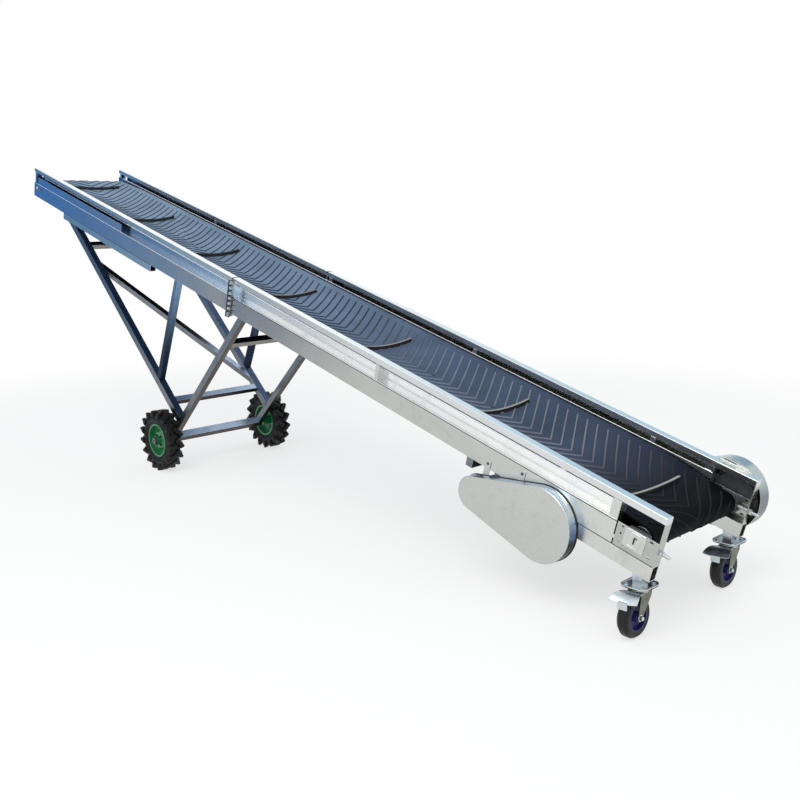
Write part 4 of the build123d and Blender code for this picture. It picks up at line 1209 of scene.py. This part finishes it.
# Bolted sheet frame
@dataclass(frozen=True)
class SideFrame:
    """Trim of the folded side beams: recess posts, joint bolts and the tail plate's shaft pad."""

    joint_at: float = 3.0798
    joint_half: float = 0.006
    joint_side: float = 0.392
    joint_heights: Tuple[float, ...] = (-0.030, -0.062, -0.094, -0.126, -0.158, -0.190, -0.222, -0.236)
    joint_bolt: Bolt = Bolt(0.016, 0.010, 0.0115)
    seed: int = 7
    recess: Spot = (-0.115, -0.031)
    recess_depth: float = 0.0395
    post_at: float = 1.725
    post_width: float = 0.024
    post_sheet: float = 0.003
    post_inset: float = 0.0008
    pad_at: Spot = (0.109, -0.158)
    pad: Triple = (0.100, 0.082, 0.006)
    pad_thick: float = 0.0035
    pad_edge: float = 0.0012
    rim: Triple = (0.058, 0.058, 0.012)
    rim_width: float = 0.0035
    rim_stand: float = 0.0014
    slot: Triple = (0.0075, 0.032, 0.0030)
    slot_stand: float = 0.0006
    slot_edge: float = 0.0003
    hook: Triple = (0.016, 0.0055, 0.0020)
    hook_at: Triple = (-0.006, 0.0125, 0.0)
    hook_stand: float = 0.0007

    def build(self) -> None:
        """Makes the trim of both sides."""
        self.bolts()
        self.posts()
        self.pads()

    def bolts(self) -> None:
        """Makes the joint's bolts as one mesh."""
        piece = Piece("joint_bolts")
        turns = random.Random(self.seed)
        for side in Side:
            for h in self.joint_heights:
                for end in (-1, 1):
                    spot = Vector((self.joint_at + end * self.joint_half, side.value * self.joint_side, h))
                    self.joint_bolt.add(piece, aim(INCLINE @ spot, end * ALONG), turns.uniform(0.0, 1.0))
        piece.finish(Finishes.ZINC.value, "frame")

    def posts(self) -> None:
        """Makes the folded uprights that stand in the recess half way along the tail section."""
        piece = Piece("recess_posts")
        w, t, d = self.post_width / 2, self.post_sheet, self.recess_depth
        fold = [(-w, -d), (-w, 0.0), (w, 0.0), (w, -d), (w - t, -d), (w - t, -t), (t - w, -t), (t - w, -d)]
        for side in Side:
            place = side.plane(WEB_SIDE - self.post_inset)
            rows = [[place @ Vector((self.post_at + x, h, z)) for x, z in fold] for h in self.recess]
            piece.quads(rows, closed=True, capped=True)
        piece.finish(Finishes.PLATE.value, "frame")

    def pads(self) -> None:
        """Makes the raised pad over the drum's shaft on the near tail plate, and a dark plate on it that
        paints the shade of its slot.
        """
        pad, slot = Piece("tail_shaft_pad"), Piece("tail_shaft_slot")
        place = Side.NEAR.plane() @ Matrix.Translation((*self.pad_at, 0.0))
        pad.slab(rounded_box(*self.pad), place, self.pad_thick, self.pad_edge)
        rim = rounded_box(*self.rim)
        pad.band(rim, grown(rim, self.rim_width), place, self.pad_thick + self.rim_stand)
        # Dark plate: painted shade of the pad's slot and hook
        slot.slab(rounded_box(*self.slot), place, self.pad_thick + self.slot_stand, self.slot_edge)
        hooked = place @ Matrix.Translation(self.hook_at)
        slot.slab(rounded_box(*self.hook), hooked, self.pad_thick + self.hook_stand, self.slot_edge)
        pad.finish(Finishes.PLATE.value, "frame")
        slot.finish(Finishes.DRIVE_BELT.value, "frame")


@dataclass(frozen=True)
class GuardTrim:
    """The near guard's pressed shell, edging and bolts, a bracket beside it, and the far guard's back."""

    big: Triple = (0.532, -0.303, 0.169)
    small: Triple = (0.926, -0.348, 0.080)
    depth: float = 0.055
    fold: float = 0.005
    fold_steps: Tuple[Spot, ...] = ((0.0, 1.0), (0.12, 0.5), (0.5, 0.12), (1.0, 0.0))
    straps: Tuple[Triple, ...] = ((0.905, -0.178, 0.122), (0.708, -0.134, 0.096))
    strap_width: float = 0.034
    strap_sheet: float = 0.003
    strap_corner: float = 0.004
    strap_bolt: Bolt = Bolt(0.010, 0.004, 0.0075, 0.001)
    strap_bolt_drop: float = 0.018
    strap_bolt_turn: float = 0.4
    edging: Spot = (-0.002, 0.0028)
    edging_thick: float = 0.0045
    bracket: Triple = (0.030, 0.058, 0.004)
    bracket_at: Triple = (0.386, -0.2495, 0.0)
    bracket_side: float = 0.330
    bracket_thick: float = 0.044
    bracket_edge: float = 0.002
    far: Triple = (0.134, -0.140, 0.1645)
    far_low: float = -0.030
    far_gap: float = 0.001
    far_sheet: float = 0.003
    far_steps: int = 30
    slit: Triple = (0.070, 0.0045, 0.002)
    slit_at: Triple = (0.164, 0.010, 0.0)
    slit_gap: float = 0.0004
    slit_thick: float = 0.0042

    def build(self) -> None:
        """Makes the near guard, the bracket and the far guard's back."""
        self.near()
        bracket = Piece("channel_end_bracket")
        place = Side.NEAR.plane(self.bracket_side) @ Matrix.Translation(self.bracket_at)
        bracket.slab(rounded_box(*self.bracket), place, self.bracket_thick, self.bracket_edge)
        bracket.finish(Finishes.IRON.value, "frame")
        self.back()

    def near(self) -> None:
        """Makes the near guard's edging, its shell with a rolled edge and two straps, and their bolts."""
        seal, piece, bolts = Piece("guard_edging"), Piece("drive_guard_shell"), Piece("guard_strap_bolts")
        shape = teardrop(self.big, self.small)
        place = Side.NEAR.plane()
        inner, outer = (grown(shape, by) for by in self.edging)
        seal.band(inner, outer, place, self.edging_thick)
        levels = [(shape, 0.0)]
        for inwards, down in self.fold_steps:
            levels.append((grown(shape, -inwards * self.fold), self.depth - down * self.fold))
        piece.quads(raised(levels, place), closed=True, capped=True)
        for s, top, length in self.straps:
            seat = place @ Matrix.Translation((s, top - length / 2, 0.0))
            piece.slab(rounded_box(self.strap_width, length, self.strap_corner), seat, self.strap_sheet)
            seat = place @ Matrix.Translation((s, top - self.strap_bolt_drop, self.strap_sheet))
            self.strap_bolt.add(bolts, seat, self.strap_bolt_turn)
        seal.finish(Finishes.DRIVE_BELT.value, "frame")
        shell = piece.finish(Finishes.GUARD.value, "frame")
        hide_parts("drive_guard_near")
        bolts.finish(Finishes.IRON.value, "frame")

    def back(self) -> None:
        """Makes the far guard's back plate above the rail, with a dark plate on it that paints the shade of
        its slit.
        """
        plate, slit = Piece("far_guard_back"), Piece("far_guard_slit")
        s, h, radius = self.far
        limit = math.asin((self.far_low - h) / radius)
        steps = range(self.far_steps, -1, -1)
        turns = [limit + (math.pi - 2 * limit) * k / self.far_steps for k in steps]
        shape = [(s + radius * math.cos(t), h + radius * math.sin(t)) for t in turns]
        plate.slab(shape, Side.FAR.plane(WEB_SIDE + self.far_gap), self.far_sheet)
        plate.finish(Finishes.PLATE.value, "frame")
        place = Side.FAR.plane(WEB_SIDE + self.slit_gap) @ Matrix.Translation(self.slit_at)
        # Dark plate: painted shade of the slit
        slit.slab(rounded_box(*self.slit), place, self.slit_thick)
        slit.finish(Finishes.DRIVE_BELT.value, "frame")


@dataclass(frozen=True)
class SheetLines:
    """Dark joints between the side's sheets, and bright rods that paint highlights along the bent edges of
    the strips and ledges.
    """

    width: float = 0.0034
    thick: float = 0.0007
    sunk: float = 0.0001
    corner: float = 0.001
    corner_steps: int = 2
    edge: float = 0.0002
    joints: Tuple[Triple, ...] = ((0.205, 3.070, -0.1195), (0.004, 0.370, -0.2205), (4.075, 5.435, -0.2205))
    lip: Triple = (0.3372, -0.0600, 0.0032)
    lip_run: Spot = (0.215, 5.925)
    bead: Triple = (0.3782, -0.1150, 0.0022)
    bead_runs: Tuple[Spot, ...] = ((0.215, 3.066), (3.094, 5.965))

    def build(self) -> None:
        """Makes the joints, and the highlight rods of the lips and ledges, of both sides."""
        lines, highlight_rods = Piece("sheet_joints"), Piece("strip_lips")
        for side in Side:
            for start, end, height in self.joints:
                place = side.plane() @ Matrix.Translation(((start + end) / 2, height, -self.sunk))
                shape = rounded_box(end - start, self.width, self.corner, self.corner_steps)
                lines.slab(shape, place, self.thick, self.edge)
            # Painted highlights: bright rods along the strips' lips and the ledges
            self.rod(highlight_rods, side, self.lip, self.lip_run)
            for run in self.bead_runs:
                self.rod(highlight_rods, side, self.bead, run)
        lines.finish(Finishes.DRIVE_BELT.value, "frame")
        highlight_rods.finish(Finishes.LIP.value, "frame")

    def rod(self, piece: Piece, side: Side, section: Triple, run: Spot) -> None:
        """Adds a round rod along the rail, which paints a highlight on a bent edge.

        Args:
            piece: Mesh that gets it.
            side: Its side.
            section: Its place across, height and radius.
            run: Its ends along the rail.
        """
        y, h, radius = section
        turns = [math.radians(45 * k) for k in range(8)]
        shape = [(side.value * (y + radius * math.cos(t)), h + radius * math.sin(t)) for t in turns]
        rows = [[INCLINE @ Vector((s, across, up)) for across, up in shape] for s in run]
        piece.quads(rows, closed=True, capped=True)


# Wheels
@dataclass(frozen=True)
class WheelTrim:
    """Trim of the lugged wheels: flared lug roots, rolled rim rings, hub caps and wheel bolts."""

    centre: Triple = (0.954945, 0.434, 0.205)
    count: int = 16
    crown: float = 0.189
    crown_flat: float = 0.030
    crown_fall: float = 2.2
    crown_power: float = 1.5
    reach: float = 0.0275
    angle: float = math.radians(42.0)
    length: float = 0.066
    shares: Tuple[float, ...] = (-0.5, -0.25, 0.0, 0.25, 0.5)
    root: Spot = (0.042, 0.0290)
    rise: float = 0.0133
    shoulder: float = 0.004
    sink: float = 0.016
    limit: float = 0.0545
    smooth: float = 30.0
    rings: Tuple[Spot, ...] = ((0.1085, 0.0365), (0.076, 0.0045))
    ring_thick: float = 0.0034
    bolt: Bolt = Bolt(0.013, 0.007, 0.0095)
    bolt_ring: Spot = (0.042, 0.023)
    bolt_count: int = 4
    bolt_turn: float = 0.3
    cap: Tuple[Spot, ...] = ((0.0285, 0.0440), (0.0285, 0.0530), (0.0265, 0.0575), (0.0200, 0.0605),
                             (0.0060, 0.0612))
    cap_sides: int = 32

    def build(self) -> None:
        """Makes the trim of both wheels."""
        x, y, z = self.centre
        for side in Side:
            place = Matrix.Translation((x, side.value * y, z))
            if side is Side.FAR:
                place = place @ Matrix.Rotation(math.pi, 4, "Z")
            self.roots(side.label, place)
            self.hub(side.label, place @ Matrix.Rotation(-math.pi / 2, 4, "X"))

    def roots(self, name: str, place: Matrix) -> None:
        """Makes the flared roots of a tyre's lugs, in two rows half a pitch apart.

        Args:
            name: Side of the wheel.
            place: Its middle, with Y looking outwards.
        """
        piece = Piece("tyre_lug_roots_" + name)
        for row in (-1, 1):
            lug = self.root_rows(row)
            for k in range(self.count):
                turn = 2 * math.pi * (k + (0.0 if row < 0 else 0.5)) / self.count
                spin = place @ Matrix.Rotation(turn, 4, "Y")
                piece.quads([[spin @ spot for spot in line] for line in lug], closed=True, capped=True)
        piece.finish(Finishes.TYRE.value, "wheel_" + name, self.smooth)

    def root_rows(self, row: int) -> List[List[Vector]]:
        """Points of one lug's root at the top of the tyre.

        Args:
            row: 1 for the outer row of lugs, -1 for the inner one.

        Returns:
            Its sections from end to end.
        """
        low, high = (w / 2 for w in self.root)
        section = ((-low, -self.sink), (-low, -self.shoulder), (-high, self.rise),
                   (high, self.rise), (low, -self.shoulder), (low, -self.sink))
        seat = Matrix.Translation((0.0, row * self.reach, self.crown))
        seat = seat @ Matrix.Rotation(row * self.angle, 4, "Z")
        lines = [[seat @ Vector((x, share * self.length, z)) for x, z in section] for share in self.shares]
        for spot in (spot for line in lines for spot in line):
            spot.y = max(-self.limit, min(self.limit, spot.y))
            spot.z -= self.crown_fall * max(0.0, abs(spot.y) - self.crown_flat) ** self.crown_power
        return lines

    def hub(self, name: str, place: Matrix) -> None:
        """Makes a rim's rings, its bolts and its hub cap.

        Args:
            name: Side of the wheel.
            place: Its middle, with Z looking outwards.
        """
        rings, dark = Piece("rim_rings_" + name), Piece("wheel_hub_" + name)
        for radius, z in self.rings:
            rings.hoop(radius, self.ring_thick, place @ Matrix.Translation((0.0, 0.0, z)))
        radius, z = self.bolt_ring
        for k in range(self.bolt_count):
            spin = place @ Matrix.Rotation(2 * math.pi * (k + 0.5) / self.bolt_count, 4, "Z")
            self.bolt.add(dark, spin @ Matrix.Translation((radius, 0.0, z)), self.bolt_turn * k)
        dark.lathe(self.cap, place, self.cap_sides)
        rings.finish(Finishes.RIM.value, "wheel_" + name)
        dark.finish(Finishes.DRIVE_BELT.value, "wheel_" + name)


@dataclass(frozen=True)
class CasterTrim:
    """Trim of the braked casters: flange with bolts, race cover, axle caps, pressed pedal and tyre rings."""

    flange_inner: Triple = (0.094, 0.099, 0.010)
    flange_outer: Triple = (0.122, 0.128, 0.030)
    flange_at: float = 0.2055
    flange_thick: float = 0.0036
    lip_width: float = 0.003
    lip_share: float = 2.3
    bolt: Bolt = Bolt()
    bolts: Spot = (0.037, 0.040)
    bolt_turns: Spot = (0.4, 0.2)
    plate_top: float = 0.210
    race: Tuple[Spot, ...] = ((0.0300, 0.1842), (0.0385, 0.1860), (0.0410, 0.1910), (0.0410, 0.1975),
                              (0.0375, 0.2035))
    race_sides: int = 40
    axle: Spot = (0.042, 0.088)
    washer_at: float = 0.034
    washer: Tuple[Spot, ...] = ((0.0145, 0.0), (0.0145, 0.0012), (0.0135, 0.0018))
    cap_at: float = 0.042
    cap: Tuple[Spot, ...] = ((0.0085, -0.001), (0.0085, 0.003), (0.0060, 0.0058), (0.0015, 0.0066))
    cap_sides: int = 20
    pedal_start: float = 0.0375
    pedal_reach: Spot = (0.080, 0.011)
    pedal_half: Spot = (0.038, 0.020)
    pedal_z: float = 0.1850
    pedal_arch: float = 0.007
    pedal_droop: float = 0.020
    pedal_dish: float = 0.008
    pedal_nose: float = 0.004
    sheet: float = 0.003
    steps: int = 12
    shoe: Triple = (0.042, 0.010, 0.003)
    shoe_at: Triple = (0.0, 0.1206, 0.1385)
    shoe_height: float = 0.030
    shoe_edge: float = 0.0012
    ring_radius: float = 0.0725
    ring_at: float = 0.0248
    ring_thick: float = 0.0011

    def build(self) -> None:
        """Makes the trim of both casters."""
        for name in (side.label for side in Side):
            low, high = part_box("caster_plate_" + name)
            base = Matrix.Translation(((low.x + high.x) / 2, (low.y + high.y) / 2, 0.0))
            self.plate(name, base)
            self.swivel(name, base)
            self.pedal(name, base)
            rings = Piece("caster_tyre_rings_" + name)
            for end in (-1, 1):
                seat = base @ Matrix.Translation((end * self.ring_at, *self.axle))
                rings.hoop(self.ring_radius, self.ring_thick, seat @ Matrix.Rotation(math.pi / 2, 4, "Y"))
            rings.finish(Finishes.CASTER_TYRE.value, "caster_wheel_" + name)

    def plate(self, name: str, base: Matrix) -> None:
        """Makes the pressed flange round a top plate, with a turned-up lip, and its bolts.

        Args:
            name: Side of the caster.
            base: Matrix at the floor under its swivel.
        """
        piece = Piece("caster_flange_" + name)
        seat = base @ Matrix.Translation((0.0, 0.0, self.flange_at))
        outer = rounded_box(*self.flange_outer)
        piece.band(rounded_box(*self.flange_inner), outer, seat, self.flange_thick)
        piece.band(grown(outer, -self.lip_width), outer, seat, self.lip_share * self.flange_thick)
        for x in (-1, 1):
            for y in (-1, 1):
                spot = base @ Matrix.Translation((x * self.bolts[0], y * self.bolts[1], self.plate_top))
                self.bolt.add(piece, spot, self.bolt_turns[0] * x + self.bolt_turns[1] * y)
        piece.finish(Finishes.ZINC.value, "frame")

    def swivel(self, name: str, base: Matrix) -> None:
        """Makes the cover of the swivel race, and the axle's washers and caps.

        Args:
            name: Side of the caster.
            base: Matrix at the floor under its swivel.
        """
        piece = Piece("caster_race_" + name)
        piece.lathe(self.race, base, self.race_sides)
        for end in (-1, 1):
            inner, outer = (base @ Vector((end * x, *self.axle)) for x in (self.washer_at, self.cap_at))
            away = Vector((end, 0, 0))
            piece.lathe(self.washer, aim(inner, away))
            piece.lathe(self.cap, aim(outer, away), self.cap_sides)
        piece.finish(Finishes.ZINC.value, "caster_swivel_" + name)

    def pedal(self, name: str, base: Matrix) -> None:
        """Makes the pressed pedal, wider and drawn to a corner at its tip, with the brake shoe under it.

        Args:
            name: Side of the caster.
            base: Matrix at the floor under its swivel.
        """
        piece = Piece("caster_pedal_plate_" + name)
        rows = []
        for k in range(self.steps + 1):
            t = k / self.steps
            wide = self.pedal_half[0] + self.pedal_half[1] * t * t * (3 - 2 * t)
            bow = self.pedal_z + self.pedal_arch * math.sin(math.pi * t) - self.pedal_droop * t * t
            upper = []
            for m in range(self.steps + 1):
                u = 2 * m / self.steps - 1
                reach = self.pedal_reach[0] + self.pedal_reach[1] * u
                z = bow + self.pedal_dish * u * u * t - self.pedal_nose * t ** 8
                upper.append(Vector((u * wide, self.pedal_start + t * reach, z)))
            lower = [spot - Vector((0.0, 0.0, self.sheet)) for spot in upper[::-1]]
            rows.append([base @ spot for spot in upper + lower])
        piece.quads(rows, closed=True, capped=True)
        seat = base @ Matrix.Translation(self.shoe_at)
        piece.slab(rounded_box(*self.shoe), seat, self.shoe_height, self.shoe_edge)
        pedal = piece.finish(Finishes.ZINC.value, "caster_swivel_" + name)
        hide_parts("caster_pedal_" + name)


@dataclass(frozen=True)
class TakeUp:
    """Threads of the take-up screws at the tail."""

    side: float = 0.358
    drop: float = -0.158
    radius: float = 0.0068
    thread: float = 0.0009
    pitch: float = 0.0025
    runs: Tuple[Spot, ...] = ((-0.0435, -0.0155), (0.002, 0.058))
    sides: int = 18

    def build(self) -> None:
        """Makes the threads of both screws as one mesh."""
        piece = Piece("take_up_threads")
        for side in Side:
            for start, end in self.runs:
                for k in range(int((end - start) / self.pitch)):
                    spot = INCLINE @ Vector((start + k * self.pitch, side.value * self.side, self.drop))
                    piece.hoop(self.radius, self.thread, aim(spot, ALONG), self.sides)
        piece.finish(Finishes.ZINC.value, "frame")


# Studio
BLUE_STOPS: Stops = ((0.18, (0.09, 0.25, 0.50)), (0.33, (0.13, 0.25, 0.42)), (0.50, (0.26, 0.42, 0.60)),
                     (0.66, (0.50, 0.56, 0.60)), (0.90, (0.80, 0.82, 0.82)))
SKY_STOPS: Stops = ((0.10, (0.34, 0.52, 0.68)), (0.55, (0.46, 0.62, 0.74)), (0.95, (0.92, 0.97, 1.0)))
WHITE: Triple = (1.0, 1.0, 1.0)


@dataclass(frozen=True)
class Card:
    """A tinted card that only gloss shows, as studio cards do.

    It stands in the direction facing from the conveyor, in degrees from +X, and leans towards it by lean.
    """

    name: str
    place: Triple
    facing: float
    size: Spot
    stops: Stops
    lean: float = 0.0
    hidden_from: Tuple[str, ...] = ("camera", "diffuse", "shadow", "transmission", "volume_scatter")

    def stand(self) -> None:
        """Stands the card in the studio."""
        x, z = (length / 2 for length in self.size)
        data = bpy.data.meshes.new(self.name)
        data.from_pydata([(-x, 0, -z), (x, 0, -z), (x, 0, z), (-x, 0, z)], [], [(0, 1, 2, 3)])
        card = linked(self.name, data)
        turn = Matrix.Rotation(math.radians(self.facing + 90.0), 4, "Z")
        turn = turn @ Matrix.Rotation(math.radians(self.lean), 4, "X")
        card.matrix_world = Matrix.Translation(self.place) @ turn
        graph = Graph(self.name)
        colour = graph.ramp(graph.at("X") / self.size[0] + 0.5, self.stops)
        graph.set(Base_Color=(0.0, 0.0, 0.0), Specular_IOR_Level=0.0)
        graph.set(Emission_Color=colour, Emission_Strength=1.0)
        data.materials.append(graph.material)
        for ray in self.hidden_from:
            setattr(card, "visible_" + ray, False)


@dataclass(frozen=True)
class Studio:
    """Pale floor, soft light and the camera at the photograph's viewing angle."""

    yaw: float = math.radians(43.239)
    pitch: float = math.radians(10.1)
    roll: float = math.radians(1.018)
    focal: float = 933.746
    centre: Spot = (416.617, 382.868)
    picture: float = 800.0
    sensor: float = 36.0
    eye: Triple = (-1.841, 3.416, 1.671)
    view_reach: float = 200.0
    floor_reach: float = 60.0
    paper: Triple = (0.92, 0.92, 0.92)
    fade: Spot = (3.2, 6.5)
    lift: float = 0.66
    sky: Triple = (0.94, 0.97, 1.0)
    sky_strength: float = 0.75
    lamp_at: Triple = (-3.0, 4.5, 7.0)
    lamp_target: Triple = (0.0, 0.0, 0.9)
    lamp_size: Spot = (6.0, 5.0)
    lamp_power: float = 300.0
    lamp_colour: Triple = (1.0, 0.985, 0.96)
    cards: Tuple[Card, ...] = (Card("blue_card", (5.7, 3.4, 1.7), 30.0, (7.0, 3.4), BLUE_STOPS),
                               Card("sky_card", (1.2, -7.0, 5.2), -80.0, (9.0, 5.0), SKY_STOPS, -30.0))

    def build(self) -> None:
        """Sets up the studio."""
        self.camera()
        self.floor()
        self.world()
        self.lamp()
        for card in self.cards:
            card.stand()
        bpy.context.scene.view_settings.view_transform = "Standard"

    def camera(self) -> None:
        """Places the camera; its eye is measured from the rail's tail end."""
        level = math.cos(self.pitch)
        forward = Vector((math.cos(self.yaw) * level, -math.sin(self.yaw) * level, -math.sin(self.pitch)))
        right = forward.cross(Vector((0.0, 0.0, 1.0))).normalized()
        down = forward.cross(right)
        c, s = math.cos(self.roll), math.sin(self.roll)
        across, below = c * right + s * down, c * down - s * right
        data = bpy.data.cameras.new("camera")
        data.sensor_width = self.sensor
        data.lens = self.focal * self.sensor / self.picture
        data.shift_x = (self.picture / 2 - self.centre[0]) / self.picture
        data.shift_y = (self.centre[1] - self.picture / 2) / self.picture
        data.clip_end = self.view_reach
        camera = linked("camera", data)
        turn = Matrix((across, -below, -forward)).transposed().to_4x4()
        eye = Vector(self.eye) + Vector((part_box("rail_near")[0].x, 0.0, 0.0))
        camera.matrix_world = Matrix.Translation(eye) @ turn
        bpy.context.scene.camera = camera

    def floor(self) -> None:
        """Lays the pale floor, which fades into the white surroundings a few metres out."""
        data = bpy.data.meshes.new("floor")
        reach = self.floor_reach
        corners = [(-reach, -reach, 0), (reach, -reach, 0), (reach, reach, 0), (-reach, reach, 0)]
        data.from_pydata(corners, [], [(0, 1, 2, 3)])
        floor = linked("floor", data)
        graph = Graph("floor_paper")
        grain = graph.noise(40.0, 3.0)
        graph.set(Base_Color=graph.tint(self.paper, 0.985 + 0.03 * grain))
        graph.set(Roughness=0.9, Specular_IOR_Level=0.1)
        away = graph.add("ShaderNodeVectorMath", {"operation": "LENGTH"}, {0: graph.place()}, "Value")
        white = graph.add("ShaderNodeEmission", None, {"Color": WHITE, "Strength": 1.0})
        share = graph.seen() * (self.lift + (1.0 - self.lift) * away.step(*self.fade))
        paper = Channel(graph, graph.shader.outputs[0])
        surface = graph.add("ShaderNodeMixShader", None, {0: share, 1: paper, 2: white})
        graph.feed(graph.tree.nodes["Material Output"].inputs["Surface"], surface)
        data.materials.append(graph.material)

    def world(self) -> None:
        """White surroundings for the camera, gloss and glass, and a softer white for the light."""
        world = bpy.data.worlds.new("studio")
        bpy.context.scene.world = world
        world.use_nodes = True
        graph = Graph.of(world.node_tree)
        soft = graph.add("ShaderNodeBackground", None, {"Color": self.sky, "Strength": self.sky_strength})
        white = graph.add("ShaderNodeBackground", None, {"Color": WHITE, "Strength": 1.0})
        both = graph.add("ShaderNodeMixShader", None, {0: graph.seen(), 1: soft, 2: white})
        graph.feed(world.node_tree.nodes["World Output"].inputs["Surface"], both)

    def lamp(self) -> None:
        """Adds the soft area lamp."""
        data = bpy.data.lights.new("key_light", "AREA")
        data.shape = "RECTANGLE"
        data.size, data.size_y = self.lamp_size
        data.energy = self.lamp_power
        data.color = self.lamp_colour
        lamp = linked("key_light", data)
        place = Vector(self.lamp_at)
        lamp.matrix_world = aim(place, place - Vector(self.lamp_target))
        lamp.visible_camera = False


def dress_nodes(smooth: float = 30.0) -> None:
    """Shades the CAD nodes' curved faces smooth, and puts on each its own finish or its slot's.

    Args:
        smooth: Angle in degrees below which edges are shaded smooth.
    """
    by_slot = {finish.value.slot: finish for finish in Finishes if not finish.value.variant}
    for name, node in NODES.items():
        shade(node, smooth)
        own = [finish for finish, starts in OWN_FINISHES.items() if name.startswith(starts)]
        finish = own[0] if own else by_slot[node.data.materials[0].name]
        finish.value.dress(node)
        LOG.info("%s: finish %s", name, finish.name.lower())


def main() -> None:
    """Builds the studio, dresses the CAD nodes and adds the pieces that CAD leaves to the scene."""
    logging.basicConfig(level=logging.INFO, format="%(name)s %(message)s")
    Studio().build()
    dress_nodes()
    trims = (BeltRibs(), CleatCaps(), SideFrame(), GuardTrim(), SheetLines(), WheelTrim(), CasterTrim(),
             TakeUp())
    for trim in trims:
        trim.build()


if __name__ == "__main__":
    main()
